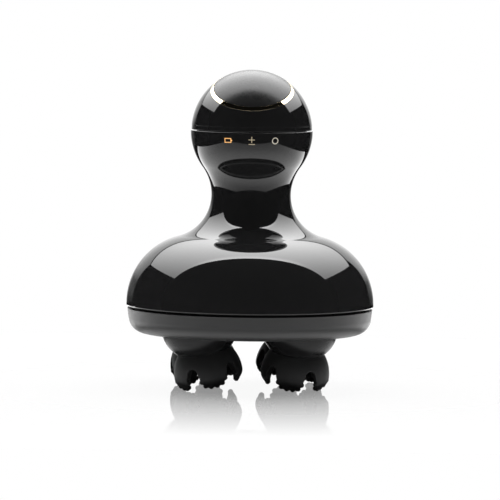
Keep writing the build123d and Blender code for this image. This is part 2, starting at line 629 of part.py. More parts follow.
# ---- top cover, ring and power button ---------------------------------------------------------
with BuildPart() as top_cover:
    cover_foot = ball_level + COVER_GAP
    with BuildSketch(Plane.XZ):
        with BuildLine():
            outer_foot = on_circle(ball_centre, cover_radius, cover_foot)
            inner_foot = on_circle(ball_centre, cover_radius - WALL, cover_foot)
            outer_crown = Vector(0, ball_level + cover_radius)
            inner_crown = Vector(0, ball_level + cover_radius - WALL)
            arc(ball_centre, outer_foot, outer_crown)
            arc(ball_centre, inner_foot, inner_crown)
            Line(outer_foot, inner_foot)
            Line(outer_crown, inner_crown)
        make_face()
    revolve(axis=Axis.Z)
    lip_outer = BALL_RADIUS - WALL - COVER_LIP_GAP
    tube(Plane.XY.offset(ball_level - COVER_LIP_DEPTH), lip_outer - COVER_LIP, lip_outer,
         COVER_LIP_DEPTH + COVER_GAP)
    tube(Plane.XY.offset(cover_foot), lip_outer - COVER_LIP, lip_outer + COVER_LIP_ROOT,
         COVER_LIP_SHOULDER)
    with BuildSketch(button_plane.offset(well_floor_rise)):
        Circle(well_outer)
    extrude(amount=sqrt(cover_radius**2 - well_outer**2) - well_floor_rise - WELL_GAP)
    with BuildSketch(button_plane.offset(well_floor_top)):
        Circle(well_radius)
    extrude(amount=cover_radius, mode=Mode.SUBTRACT)
    with BuildSketch(button_plane.offset(ring_seat_rise)):
        Circle(ring_outer + PRESS_GAP)
    extrude(amount=cover_radius, mode=Mode.SUBTRACT)
    with BuildSketch(button_plane.offset(well_floor_rise)):
        with Locations((0, BOARD_RADIUS + WIRE_HOLE_RADIUS + WIRE_HOLE_MARGIN)):
            Circle(WIRE_HOLE_RADIUS)
    extrude(amount=WELL_FLOOR, mode=Mode.SUBTRACT)
save(top_cover.part, "top_cover")

with BuildPart() as accent_ring:
    with BuildSketch(section_plane(button_plane)):
        with BuildLine():
            seat_inner = Vector(ring_inner, ring_seat_rise)
            seat_outer = Vector(ring_outer, ring_seat_rise)
            face_outer = Vector(ring_outer, sqrt(cover_radius**2 - ring_outer**2))
            face_inner = Vector(ring_inner, sqrt(cover_radius**2 - ring_inner**2))
            Line(seat_inner, seat_outer)
            Line(seat_outer, face_outer)
            arc(Vector(0, 0), face_outer, face_inner)
            Line(face_inner, seat_inner)
        make_face()
    revolve(axis=Axis(button_plane.origin, button_plane.z_dir))
save(accent_ring.part, "accent_ring")

switch_top = well_floor_top + BOARD_THICKNESS + SWITCH_HEIGHT + SWITCH_NIB
plunger_foot = switch_top + BUTTON_TRAVEL + PLUNGER_GAP
with BuildPart() as power_button:
    with BuildSketch(section_plane(button_plane)):
        with BuildLine():
            inner_cap = cover_radius - BUTTON_THICKNESS
            skirt_inner = BUTTON_RADIUS - SKIRT_THICKNESS
            crown = Vector(0, cover_radius)
            edge = Vector(BUTTON_RADIUS, sqrt(cover_radius**2 - BUTTON_RADIUS**2))
            skirt_top = Vector(skirt_inner, sqrt(inner_cap**2 - skirt_inner**2))
            plunger_top = Vector(PLUNGER_RADIUS, sqrt(inner_cap**2 - PLUNGER_RADIUS**2))
            arc(Vector(0, 0), crown, edge)
            Polyline(edge, (BUTTON_RADIUS, skirt_foot), (skirt_inner, skirt_foot), skirt_top)
            arc(Vector(0, 0), skirt_top, plunger_top)
            Polyline(plunger_top, (PLUNGER_RADIUS, plunger_foot), (0, plunger_foot), crown)
        make_face()
    revolve(axis=Axis(button_plane.origin, button_plane.z_dir))
save(power_button.part, "power_button")

with BuildPart() as button_gasket:
    tube(button_plane.offset(well_floor_top), BUTTON_RADIUS - SKIRT_THICKNESS, BUTTON_RADIUS,
         skirt_foot - BUTTON_TRAVEL - PLUNGER_GAP - well_floor_top)
save(button_gasket.part, "button_gasket")

with BuildPart() as button_board:
    with BuildSketch(button_plane.offset(well_floor_top)):
        Circle(BOARD_RADIUS)
    extrude(amount=BOARD_THICKNESS)
save(button_board.part, "button_board")

with BuildPart() as tact_switch:
    with BuildSketch(button_plane.offset(well_floor_top + BOARD_THICKNESS)):
        Rectangle(SWITCH_SIZE, SWITCH_SIZE)
    extrude(amount=SWITCH_HEIGHT)
    with BuildSketch(button_plane.offset(switch_top - SWITCH_NIB)):
        Circle(SWITCH_NIB_RADIUS)
    extrude(amount=SWITCH_NIB)
save(tact_switch.part, "tact_switch")

# ---- charging port ----------------------------------------------------------------------------
with BuildPart() as charging_socket:
    socket_plane = Plane.XZ.offset(-socket_mouth)
    with BuildSketch(socket_plane):
        with Locations((0, socket_level)):
            RectangleRounded(SOCKET_WIDTH, SOCKET_HEIGHT, SOCKET_HEIGHT / 2 - RUNNING_FIT)
    extrude(amount=SOCKET_LENGTH)
    with BuildSketch(socket_plane):
        with Locations((0, socket_level)):
            RectangleRounded(SOCKET_WIDTH - 2 * SOCKET_WALL, SOCKET_HEIGHT - 2 * SOCKET_WALL,
                             SOCKET_HEIGHT / 2 - SOCKET_WALL - RUNNING_FIT)
    extrude(amount=SOCKET_LENGTH - SOCKET_BACK, mode=Mode.SUBTRACT)
    with BuildSketch(socket_plane.offset(TONGUE_SETBACK)):
        with Locations((0, socket_level)):
            Rectangle(TONGUE_WIDTH, TONGUE_THICKNESS)
    extrude(amount=SOCKET_LENGTH - SOCKET_BACK - TONGUE_SETBACK)
save(charging_socket.part, "charging_socket")

with BuildPart() as port_cover:
    with BuildSketch(port_plane.offset(flap_seat)):
        RectangleRounded(FLAP_WIDTH, FLAP_HEIGHT, FLAP_CORNER)
    extrude(amount=WALL * 2)
    with BuildSketch(hinge_plane):
        Circle(FLAP_HINGE_RADIUS)
    extrude(amount=FLAP_WIDTH / 2 - HINGE_NOTCH_MARGIN - HINGE_PLAY, both=True)
    with Locations((0, 0, ball_level)):
        Sphere(flap_outer, mode=Mode.INTERSECT)
save(port_cover.part, "port_cover")

# ---- boards, lights and leads in the ball -----------------------------------------------------
with BuildPart() as main_pcb:
    with BuildSketch(Plane.XY.offset(pcb_level)):
        Circle(pcb_radius)
        with PolarLocations(pcb_screw_circle, 4, start_angle=45):
            Circle(SMALL_SCREW_RADIUS + SCREW_CLEARANCE, mode=Mode.SUBTRACT)
    extrude(amount=PCB_THICKNESS)
    with BuildSketch(Plane.XY.offset(pcb_top)):
        with Locations(CHIP_PLACE):
            Rectangle(CHIP_SIZE, CHIP_SIZE)
        with Locations(*COIL_PLACES):
            Rectangle(*COIL_SIZE)
        with GridLocations(RESISTOR_PITCH, 0, 3, 1):
            Rectangle(*RESISTOR_SIZE)
    extrude(amount=CHIP_HEIGHT)
save(main_pcb.part, "main_pcb")

with BuildPart() as pcb_screws:
    for place in PolarLocations(pcb_screw_circle, 4, start_angle=45).local_locations:
        screw(Plane.XY.offset(pcb_top).move(Pos(place.position)), SMALL_SCREW_RADIUS,
              PCB_THICKNESS + SMALL_SCREW_GRIP, SMALL_HEAD_RADIUS, SMALL_HEAD_HEIGHT)
save(pcb_screws.part, "pcb_screws")

with BuildPart() as indicator_leds:
    with BuildSketch(Plane.XY.offset(pcb_top)):
        for step in (-1, 0, 1):
            with Locations(Rot(Z=-90 + step * ICON_SPREAD) * Pos(pcb_radius - LED_MARGIN, 0)):
                Rectangle(LED_DEPTH, LED_WIDTH)
    extrude(amount=LED_HEIGHT)
save(indicator_leds.part, "indicator_leds")

with BuildPart() as light_guide:
    guide_inner = pcb_radius + GUIDE_GAP
    guide_outer = BALL_RADIUS - WALL - GUIDE_TO_WALL
    with BuildSketch(Plane.XY.offset(pcb_level + GUIDE_LIFT)):
        Circle(guide_outer)
        Circle(guide_inner, mode=Mode.SUBTRACT)
        with BuildLine():
            reach = 2 * guide_outer
            side = reach * sin(radians(GUIDE_SWEEP))
            front = -reach * cos(radians(GUIDE_SWEEP))
            Polyline((0, 0), (-side, front), (side, front), (0, 0))
        make_face(mode=Mode.INTERSECT)
    extrude(amount=PCB_DROP - COVER_LIP_DEPTH - 2 * GUIDE_LIFT)
save(light_guide.part, "light_guide")

# ---- pan, seal and chassis --------------------------------------------------------------------
with BuildPart() as base_pan:
    with BuildSketch(Plane.XZ):
        with BuildLine():
            rim_outer = (pan_radius, pan_rim)
            FilletPolyline((0, pan_foot), (pan_radius - PAN_DRAFT, pan_foot), rim_outer, radius=PAN_CORNER)
            Polyline(rim_outer, (pan_inner_radius, pan_rim), (pan_inner_radius, ledge_level),
                     (ledge_radius, ledge_level), (ledge_radius, pan_foot + PAN_FLOOR),
                     (0, pan_foot + PAN_FLOOR), (0, pan_foot))
        make_face()
    revolve(axis=Axis.Z)
    with BuildSketch(Plane.XY.offset(pan_foot)):
        with Locations(*pan_screw_places):
            Circle(PAN_BOSS_RADIUS)
    extrude(amount=chassis_foot - pan_foot)
    with Locations(*[(x, y, cup_level) for x, y in heads.values()]):
        Sphere(CUP_RADIUS + CUP_CLEARANCE, mode=Mode.SUBTRACT)
    with BuildSketch(Plane.XY.offset(pan_foot)):
        with Locations(*pan_screw_places):
            Circle(PAN_SCREW_RADIUS + SCREW_CLEARANCE)
    extrude(amount=PAN_DEPTH, mode=Mode.SUBTRACT)
    with BuildSketch(Plane.XY.offset(pan_foot)):
        with Locations(*pan_screw_places):
            Circle(PAN_SCREW_HEAD_RADIUS + SCREW_CLEARANCE)
    extrude(amount=PAN_SCREW_SINK, mode=Mode.SUBTRACT)
save(base_pan.part, "base_pan")

with BuildPart() as pan_screws:
    for x, y in pan_screw_places:
        screw(Plane(origin=(x, y, pan_foot + PAN_SCREW_SINK), x_dir=(1, 0, 0), z_dir=(0, 0, -1)),
              PAN_SCREW_RADIUS, chassis_top + PAN_SCREW_GRIP - pan_foot - PAN_SCREW_SINK,
              PAN_SCREW_HEAD_RADIUS, PAN_SCREW_HEAD_HEIGHT)
save(pan_screws.part, "pan_screws")

with BuildPart() as base_seal:
    tube(Plane.XY.offset(ledge_level), lip_radius - LIP_THICKNESS, lip_radius, SEAL_HEIGHT)
save(base_seal.part, "base_seal")

with BuildPart() as chassis_plate:
    with BuildSketch(Plane.XY.offset(chassis_foot)):
        Circle(lip_radius - LIP_THICKNESS - CHASSIS_GAP)
    extrude(amount=CHASSIS_THICKNESS)
    with BuildSketch(Plane.XY.offset(chassis_top)):
        with Locations(*heads.values()):
            Circle(bush_radius + BUSH_BOSS_WALL)
    extrude(amount=BUSH_RISE)
    with BuildSketch(Plane.XY.offset(chassis_top)):
        with Locations(drive_left, drive_right):
            Circle(AXLE_RADIUS + AXLE_BOSS_WALL)
    extrude(amount=gear_level - AXIAL_PLAY - chassis_top)
    with BuildSketch(Plane.XY.offset(chassis_top)):
        with Locations(*bridge_post_places):
            Circle(BRIDGE_POST_RADIUS)
    extrude(amount=bridge_level - chassis_top)
    with BuildSketch(Plane.XY.offset(chassis_foot)):
        with Locations(*heads.values()):
            Circle(bush_radius + PRESS_GAP)
        with Locations(drive_left, drive_right):
            Circle(AXLE_RADIUS + PRESS_GAP)
        with Locations(*pan_screw_places):
            Circle(PAN_SCREW_RADIUS + SCREW_CLEARANCE)
    extrude(amount=gear_level - chassis_foot, mode=Mode.SUBTRACT)
    with BuildSketch(Plane.XY.offset(chassis_foot)):
        with Locations(*heads.values()):
            Circle(SEAL_RADIUS + PRESS_GAP)
    extrude(amount=SEAL_DEPTH, mode=Mode.SUBTRACT)
    with BuildSketch(Plane.XY.offset(bridge_level)):
        with Locations(*bridge_post_places):
            Circle(SMALL_SCREW_RADIUS + PRESS_GAP)
    extrude(amount=-SMALL_SCREW_GRIP - HOLE_RESERVE, mode=Mode.SUBTRACT)
save(chassis_plate.part, "chassis_plate")

with BuildPart() as head_bushes:
    for x, y in heads.values():
        tube(Plane((x, y, chassis_foot + SEAL_DEPTH)), HEAD_SHAFT_RADIUS + RUNNING_FIT, bush_radius,
             bush_top - chassis_foot - SEAL_DEPTH)
save(head_bushes.part, "head_bushes")

with BuildPart() as shaft_seals:
    for x, y in heads.values():
        tube(Plane((x, y, chassis_foot)), HEAD_SHAFT_RADIUS + RUNNING_FIT, SEAL_RADIUS, SEAL_DEPTH)
save(shaft_seals.part, "shaft_seals")

with BuildPart() as drive_axles:
    with BuildSketch(Plane.XY.offset(chassis_foot)):
        with Locations(drive_left, drive_right):
            Circle(AXLE_RADIUS)
    extrude(amount=gearhead_level - AXLE_SHORTFALL - chassis_foot)
save(drive_axles.part, "drive_axles")

# ---- motor bridge, gearmotor and cells --------------------------------------------------------
with BuildPart() as motor_bridge:
    with BuildSketch(Plane.XY.offset(bridge_level)):
        SlotCenterToCenter(2 * BRIDGE_POST_OFFSET, 2 * (BRIDGE_POST_RADIUS + BRIDGE_EAR_WALL))
        Rectangle(2 * (gear_radius + BRIDGE_MARGIN), 2 * BRIDGE_HALF_WIDTH)
        Circle(OUTPUT_SHAFT_RADIUS + BRIDGE_BORE_WALL, mode=Mode.SUBTRACT)
        with Locations(drive_left, drive_right):
            Circle(AXLE_RADIUS + PRESS_GAP, mode=Mode.SUBTRACT)
        with Locations(*motor_screw_places):
            Circle(SMALL_SCREW_RADIUS + SCREW_CLEARANCE, mode=Mode.SUBTRACT)
        with Locations(*bridge_post_places):
            Circle(SMALL_SCREW_RADIUS + SCREW_CLEARANCE, mode=Mode.SUBTRACT)
    extrude(amount=BRIDGE_THICKNESS)
save(motor_bridge.part, "motor_bridge")

with BuildPart() as bridge_screws:
    for x, y in bridge_post_places:
        screw(Plane((x, y, gearhead_level)), SMALL_SCREW_RADIUS,
              BRIDGE_THICKNESS + SMALL_SCREW_GRIP, SMALL_HEAD_RADIUS, SMALL_HEAD_HEIGHT)
save(bridge_screws.part, "bridge_screws")

with BuildPart() as motor_screws:
    for x, y in motor_screw_places:
        screw(Plane(origin=(x, y, bridge_level), x_dir=(1, 0, 0), z_dir=(0, 0, -1)),
              SMALL_SCREW_RADIUS, BRIDGE_THICKNESS + MOTOR_SCREW_GRIP, SMALL_HEAD_RADIUS,
              MOTOR_HEAD_HEIGHT)
save(motor_screws.part, "motor_screws")

with BuildPart() as gearhead:
    with BuildSketch(Plane.XY.offset(gearhead_level)):
        Circle(MOTOR_RADIUS)
    extrude(amount=GEARHEAD_LENGTH)
    with BuildSketch(Plane.XY.offset(gearhead_level)):
        with Locations(*motor_screw_places):
            Circle(SMALL_SCREW_RADIUS + PRESS_GAP)
        Circle(OUTPUT_SHAFT_RADIUS + RUNNING_FIT)
    extrude(amount=OUTPUT_SHAFT_ENTRY + AXIAL_PLAY, mode=Mode.SUBTRACT)
save(gearhead.part, "gearhead")

with BuildPart() as motor_can:
    with BuildSketch(Plane.XY.offset(motor_level)):
        Circle(MOTOR_RADIUS)
    extrude(amount=MOTOR_LENGTH)
    fillet(faces().sort_by(Axis.Z)[-1].edges(), MOTOR_EDGE)
    with BuildSketch(Plane.XY.offset(motor_top)):
        Circle(MOTOR_BOSS_RADIUS)
        with Locations(*terminal_places):
            Rectangle(TERMINAL_THICKNESS, TERMINAL_WIDTH)
    extrude(amount=TERMINAL_HEIGHT)
save(motor_can.part, "motor_can")

with BuildPart() as battery_cells:
    for side in (-1, 1):
        with BuildSketch(Plane.YZ.offset(-CELL_LENGTH / 2)):
            with Locations((side * cell_offset, cell_level)):
                Circle(CELL_RADIUS)
        extrude(amount=CELL_LENGTH - CELL_CAP_HEIGHT)
        with BuildSketch(Plane.YZ.offset(CELL_LENGTH / 2 - CELL_CAP_HEIGHT)):
            with Locations((side * cell_offset, cell_level)):
                Circle(CELL_CAP_RADIUS)
        extrude(amount=CELL_CAP_HEIGHT)
save(battery_cells.part, "battery_cells")

with BuildPart() as cell_cradles:
    cradle_foot = cell_level - CELL_RADIUS - CRADLE_FLOOR
    for side in (-1, 1):
        with BuildSketch(Plane.XY.offset(chassis_top)):
            with Locations((0, side * cell_offset)):
                Circle(CRADLE_POST_RADIUS)
        extrude(amount=cradle_foot - chassis_top)
        with BuildSketch(Plane.XY.offset(cradle_foot)):
            with Locations((0, side * cell_offset)):
                Rectangle(CRADLE_LENGTH, 2 * CELL_RADIUS - CRADLE_RELIEF)
        extrude(amount=CELL_RADIUS - CRADLE_RELIEF)
    for side in (-1, 1):
        with BuildSketch(Plane.YZ.offset(-CELL_LENGTH / 2)):
            with Locations((side * cell_offset, cell_level)):
                Circle(CELL_RADIUS + SCREW_CLEARANCE)
        extrude(amount=CELL_LENGTH, mode=Mode.SUBTRACT)
save(cell_cradles.part, "cell_cradles")

with BuildPart() as motor_leads:
    with BuildSketch(Plane.XY.offset(motor_top + TERMINAL_HEIGHT)):
        with Locations(*terminal_places):
            Circle(LEAD_RADIUS)
    extrude(amount=pcb_level - motor_top - TERMINAL_HEIGHT)
save(motor_leads.part, "motor_leads")

with BuildPart() as battery_leads:
    lead_offset = MOTOR_RADIUS + LEAD_RADIUS + LEAD_GAP
    for side in (-1, 1):
        with BuildLine() as lead_path:
            FilletPolyline((0, side * cell_offset, cell_level + CELL_RADIUS + LEAD_GAP),
                           (0, side * lead_offset, motor_level + LEAD_RISE),
                           (0, side * lead_offset, pcb_level), radius=LEAD_BEND)
        with BuildSketch(Plane(origin=lead_path.line @ 0, z_dir=lead_path.line % 0)):
            Circle(LEAD_RADIUS)
        sweep(path=lead_path.line)
save(battery_leads.part, "battery_leads")

# ---- output pinion and drive gears ------------------------------------------------------------
left_turn = 0.0
right_turn = meshing_turn(left_turn, GEAR_TEETH, drive_left, drive_right, GEAR_TEETH)
wheel_turn = 0.0
pinion_turn = meshing_turn(wheel_turn, WHEEL_TEETH, drive_left, (0, 0), PINION_TEETH)

with BuildPart() as output_shaft:
    with BuildSketch(Plane.XY.offset(wheel_level - OUTPUT_SHAFT_PROUD)):
        Circle(OUTPUT_SHAFT_RADIUS)
    extrude(amount=gearhead_level + OUTPUT_SHAFT_ENTRY - wheel_level + OUTPUT_SHAFT_PROUD)
save(output_shaft.part, "output_shaft")

with BuildPart() as drive_pinion:
    gear_rim(Plane.XY.offset(wheel_level), wheel_module, PINION_TEETH, pinion_turn, WHEEL_WIDTH)
    with BuildSketch(Plane.XY.offset(wheel_level)):
        Circle(OUTPUT_SHAFT_RADIUS + PRESS_GAP)
    extrude(amount=WHEEL_WIDTH, mode=Mode.SUBTRACT)
save(drive_pinion.part, "drive_pinion")

with BuildPart() as drive_gear_left:
    gear_rim(Plane((*drive_left, gear_level)), GEAR_MODULE, GEAR_TEETH, left_turn, GEAR_WIDTH)
    with BuildSketch(Plane((*drive_left, gear_top))):
        Circle(AXLE_RADIUS + WHEEL_HUB_WALL)
    extrude(amount=WHEEL_LIFT)
    gear_rim(Plane((*drive_left, wheel_level)), wheel_module, WHEEL_TEETH, wheel_turn, WHEEL_WIDTH)
    with BuildSketch(Plane((*drive_left, wheel_top))):
        Circle(AXLE_RADIUS + AXLE_BOSS_WALL)
    extrude(amount=bridge_level - AXIAL_PLAY - wheel_top)
    with BuildSketch(Plane((*drive_left, gear_level))):
        Circle(AXLE_RADIUS + RUNNING_FIT)
    extrude(amount=bridge_level - gear_level, mode=Mode.SUBTRACT)
save(drive_gear_left.part, "drive_gear_left")

with BuildPart() as drive_gear_right:
    gear_rim(Plane((*drive_right, gear_level)), GEAR_MODULE, GEAR_TEETH, right_turn, GEAR_WIDTH)
    with BuildSketch(Plane((*drive_right, gear_top))):
        Circle(AXLE_RADIUS + AXLE_BOSS_WALL)
    extrude(amount=bridge_level - AXIAL_PLAY - gear_top)
    with BuildSketch(Plane((*drive_right, gear_level))):
        Circle(AXLE_RADIUS + RUNNING_FIT)
    extrude(amount=bridge_level - gear_level, mode=Mode.SUBTRACT)
save(drive_gear_right.part, "drive_gear_right")

# ---- the four heads ---------------------------------------------------------------------------
for head_name, (head_x, head_y) in heads.items():
    towards_centre = degrees(atan2(-head_y, -head_x))
    head_place = Location((head_x, head_y, cup_level), (0, 0, towards_centre - HEAD_SWING))
    claw_turn = claw_turns[1 if head_x * head_y > 0 else -1]

    with BuildPart() as head_cup:
        with Locations(head_place):
            add(cup.part)
    save(head_cup.part, f"cup_{head_name}")

    with BuildPart() as head_claw:
        with Locations(head_place):
            add(leaning_claw(claw_turn))
    save(head_claw.part, f"claw_{head_name}")

    with BuildPart() as head_screw:
        with Locations(head_place):
            add(claw_screw.part)
    save(head_screw.part, f"claw_screw_{head_name}")

    with BuildPart() as head_shaft:
        with BuildSketch(Plane((head_x, head_y, cup_level - SHAFT_SINK))):
            Circle(HEAD_SHAFT_RADIUS)
        extrude(amount=shaft_top - cup_level + SHAFT_SINK)
        chamfer(faces().sort_by(Axis.Z)[-1].edges(), SHAFT_CHAMFER)
    save(head_shaft.part, f"head_shaft_{head_name}")

    drive_place, drive_turn = (drive_left, left_turn) if head_x < 0 else (drive_right, right_turn)
    head_turn = meshing_turn(drive_turn, GEAR_TEETH, drive_place, (head_x, head_y), GEAR_TEETH)
    with BuildPart() as head_gear:
        gear_rim(Plane((head_x, head_y, gear_level)), GEAR_MODULE, GEAR_TEETH, head_turn, GEAR_WIDTH)
        with BuildSketch(Plane((head_x, head_y, gear_level))):
            Circle(HEAD_SHAFT_RADIUS + PRESS_GAP)
        extrude(amount=GEAR_WIDTH, mode=Mode.SUBTRACT)
    save(head_gear.part, f"head_gear_{head_name}")

    with BuildPart() as head_clip:
        with BuildSketch(Plane((head_x, head_y, clip_level))):
            Circle(CLIP_RADIUS)
            Circle(HEAD_SHAFT_RADIUS + PRESS_GAP, mode=Mode.SUBTRACT)
            with Locations((CLIP_RADIUS, 0)):
                Rectangle(2 * CLIP_RADIUS, 2 * AXLE_RADIUS, mode=Mode.SUBTRACT)
        extrude(amount=CLIP_THICKNESS)
    save(head_clip.part, f"head_clip_{head_name}")
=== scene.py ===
"""Looks of the electric scalp massager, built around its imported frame. Metres, +Z up, the front faces -Y."""
import json
from math import asin, atan2, cos, hypot, pi, radians, sin, sqrt

import bmesh
import bpy
import numpy as np
from mathutils import Matrix, Vector
from mathutils.bvhtree import BVHTree
from mathutils.interpolate import poly_3d_calc


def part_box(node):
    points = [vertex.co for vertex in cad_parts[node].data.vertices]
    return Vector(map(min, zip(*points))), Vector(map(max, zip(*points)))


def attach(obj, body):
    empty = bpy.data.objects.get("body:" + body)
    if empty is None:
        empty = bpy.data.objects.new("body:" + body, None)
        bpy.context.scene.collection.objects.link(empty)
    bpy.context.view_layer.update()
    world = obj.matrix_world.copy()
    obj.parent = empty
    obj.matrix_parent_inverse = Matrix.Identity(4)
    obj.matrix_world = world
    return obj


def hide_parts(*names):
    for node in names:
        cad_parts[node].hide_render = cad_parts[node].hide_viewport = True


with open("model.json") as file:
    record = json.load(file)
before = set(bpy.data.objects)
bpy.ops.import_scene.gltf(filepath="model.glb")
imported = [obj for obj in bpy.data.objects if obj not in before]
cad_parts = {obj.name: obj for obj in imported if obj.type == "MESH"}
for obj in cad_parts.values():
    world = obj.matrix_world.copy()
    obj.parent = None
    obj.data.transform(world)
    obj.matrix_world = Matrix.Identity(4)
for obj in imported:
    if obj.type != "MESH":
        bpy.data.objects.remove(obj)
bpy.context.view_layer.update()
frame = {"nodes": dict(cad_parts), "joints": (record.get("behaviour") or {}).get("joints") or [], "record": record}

MM = 0.001
MICRON = 0.001 * MM

# ---- sizes that the frame gives -----------------------------------------------------------------
housing_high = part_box("main_housing")[1]
ball_level = housing_high.z
base_radius = housing_high.x
pan_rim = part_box("base_pan")[1].z
head_centres = {
    joint["child"]: Vector(joint["pos_m"])
    for joint in frame["joints"]
    if joint["child"].startswith("head_")
}

# ---- sizes of the shell, as in the solids ---------------------------------------------------------
BALL_RADIUS = 24.5 * MM
COVER_RADIUS = 24.25 * MM
COVER_GAP = 0.3 * MM
SEAM_GAP = 0.3 * MM
WALL = 2.2 * MM
SHOULDER_RADIUS = 27.9 * MM
SHOULDER_RISE = 0.7 * MM
WAIST_DROP = 25.8 * MM
WAIST_RADIUS = 15.95 * MM
LIP_OUTER = 46.6 * MM
LIP_INNER = 45.2 * MM
LIP_DEPTH = 2.0 * MM
COVER_LIP_OUTER = 22.1 * MM
COVER_LIP_INNER = 21.0 * MM
COVER_LIP_DEPTH = 1.8 * MM
COVER_LIP_ROOT = 1.8 * MM  # rise at which the lip's inner face meets the cover's inside
FOOT_ROUNDING = 0.5 * MM
FOOT_DROP = 0.4 * MM  # how far the shell's visible foot comes down towards the pan
RIM_DROP = 1.1 * MM  # how far the pan's outer rim is set down, which opens the dark seam
RIM_INNER = 46.8 * MM
SEAM_ROUNDING = 0.2 * MM
BAND_RISE = 2.1 * MM  # a band just above the ball's seam, set in a little
BAND_STEP = 0.06 * MM

# ---- button and ring ------------------------------------------------------------------------------
BUTTON_LEAN = radians(26.0)
BUTTON_RADIUS = 15.3 * MM
BUTTON_THICKNESS = 1.8 * MM
BUTTON_ROUNDING = 0.35 * MM
SKIRT_FOOT = 15.0 * MM
SKIRT_INNER = 13.9 * MM
RING_INNER = 15.45 * MM
RING_OUTER = 16.6 * MM
RING_SEAT = 15.6 * MM
RING_ROUNDING = 0.003 * MM
RECESS_ROUNDING = 0.01 * MM
RING_GAP = 0.02 * MM
RING_TURNS = 256  # facets round the ring
WELL_RADIUS = 15.6 * MM
WELL_FLOOR_TOP = 12.4 * MM
WELL_FLOOR = 1.4 * MM
WELL_OUTER = 17.3 * MM
WELL_POLE = 0.1 * MM  # radius of the pin hole that closes the well's section at its axis

# ---- heads ----------------------------------------------------------------------------------------
HEAD_LEAN = radians(12.0)
HEAD_SWING = radians(20.0)  # clockwise, from the way to the base's middle to the way that a head leans
FINGER_TURN = radians(18.0)
CUP_RADIUS = 15.7 * MM
CUP_WALL = 1.8 * MM
CUP_FLOOR = 2.6 * MM
CUP_FACE_DROP = 11.4 * MM
CUP_CROWN = 2.8 * MM
CUP_EDGE = 0.3 * MM  # rounding of the face's edge and of the rim
CUP_BORE = 2.5 * MM
CLAW_INSET = 0.2 * MM
CLAW_FLARE = 3.1 * MM
CLAW_LENGTH = 14.0 * MM
CLAW_BELL = 9.4 * MM
CLAW_BULGE = 0.8 * MM
CLAW_HOLLOW_BULGE = 1.6 * MM
CLAW_WALL = 3.0 * MM
CLAW_ROOF = 4.0 * MM
CLAW_BORE = 1.7 * MM
CLAW_FINGERS = 5
ROOF_CORNER_DROP = 1.0 * MM
ROOF_CORNER_INSET = 0.6 * MM
ROOF_CORNER_RUN = 1.2 * MM
TOE_INSET = 2.4 * MM
TOE_THICKNESS = 1.6 * MM
TOE_WIDTH = 7.2 * MM
TOE_CORNER_RISE = 1.6 * MM
TOE_CORNER_RUN = 1.3 * MM
TOE_CORNER_DIP = 0.3 * MM
TOE_CORNER_BULGE = 0.3 * MM
GAP_ARCH_WIDTH = 4.4 * MM
GAP_TOP = 4.8 * MM
GAP_SHOULDER = 7.4 * MM
LOBE_RADIUS = 1.05 * MM
LOBES = [(1.2 * MM, 0.0), (3.4 * MM, 0.7 * MM), (4.7 * MM, 2.6 * MM)]  # to each side, and up
LOBE_PROUD = 0.15 * MM
LOBE_DIP = 0.75 * MM
CLAW_GRAIN = 0.26 * MM  # mesh size of the silicone
CLAW_SOFTENING = 3  # rounds of smoothing

TURNS = 192  # facets round a large turned piece
CLAW_TURNS = 120
INNER_FINENESS = 0.4  # facets along the inside of the shell, for one along its outside

# ---- mesh helpers -----------------------------------------------------------------------------------
SAME_PLACE = 0.01 * MICRON  # points nearer than this are one point
NO_LENGTH = 1e-12
INWARD_SHARE = 0.02  # of the way from a corner to its face's middle
SAME_WAY = 0.99  # product of two normals that count as parallel


def arc(centre, radius, start, end, steps):
    """A round stretch of a section: (r, z, normal r, normal z) rows; angles in radians."""
    side = 1.0 if end > start else -1.0
    angles = np.linspace(start, end, steps + 1)
    across, up = np.cos(angles), np.sin(angles)
    return np.stack([centre[0] + radius * across, centre[1] + radius * up, side * across, side * up], 1)


def straight(start, end):
    """A straight stretch of a section, with its normal to the right of its way."""
    way = np.array(end) - np.array(start)
    normal = np.array([way[1], -way[0]]) / np.hypot(*way)
    return np.array([[*start, *normal], [*end, *normal]])


def chain(*corners):
    """Straight stretches from corner to corner."""
    return [straight(a, b) for a, b in zip(corners, corners[1:])]


def edge_rounding(centre, radius, level, rounding, side):
    """Centre and tangent angle of the fillet between a circle and a level; side is 1 above the level."""
    height = level + side * rounding
    across = centre[0] + sqrt((radius - rounding) ** 2 - (height - centre[1]) ** 2)
    return (across, height), atan2(height - centre[1], across - centre[0])


def turned(stretches, turns=TURNS):
    """Rings of points and normals for each stretch of a section turned about Z."""
    angles = np.arange(turns) * 2 * pi / turns
    ring = np.stack([np.cos(angles), np.sin(angles), np.zeros(turns)], 1)
    up = np.array([0, 0, 1.0])
    columns = [stretch.T[:, :, None, None] for stretch in stretches]
    return [(r * ring + z * up, normal_r * ring + normal_z * up) for r, z, normal_r, normal_z in columns]


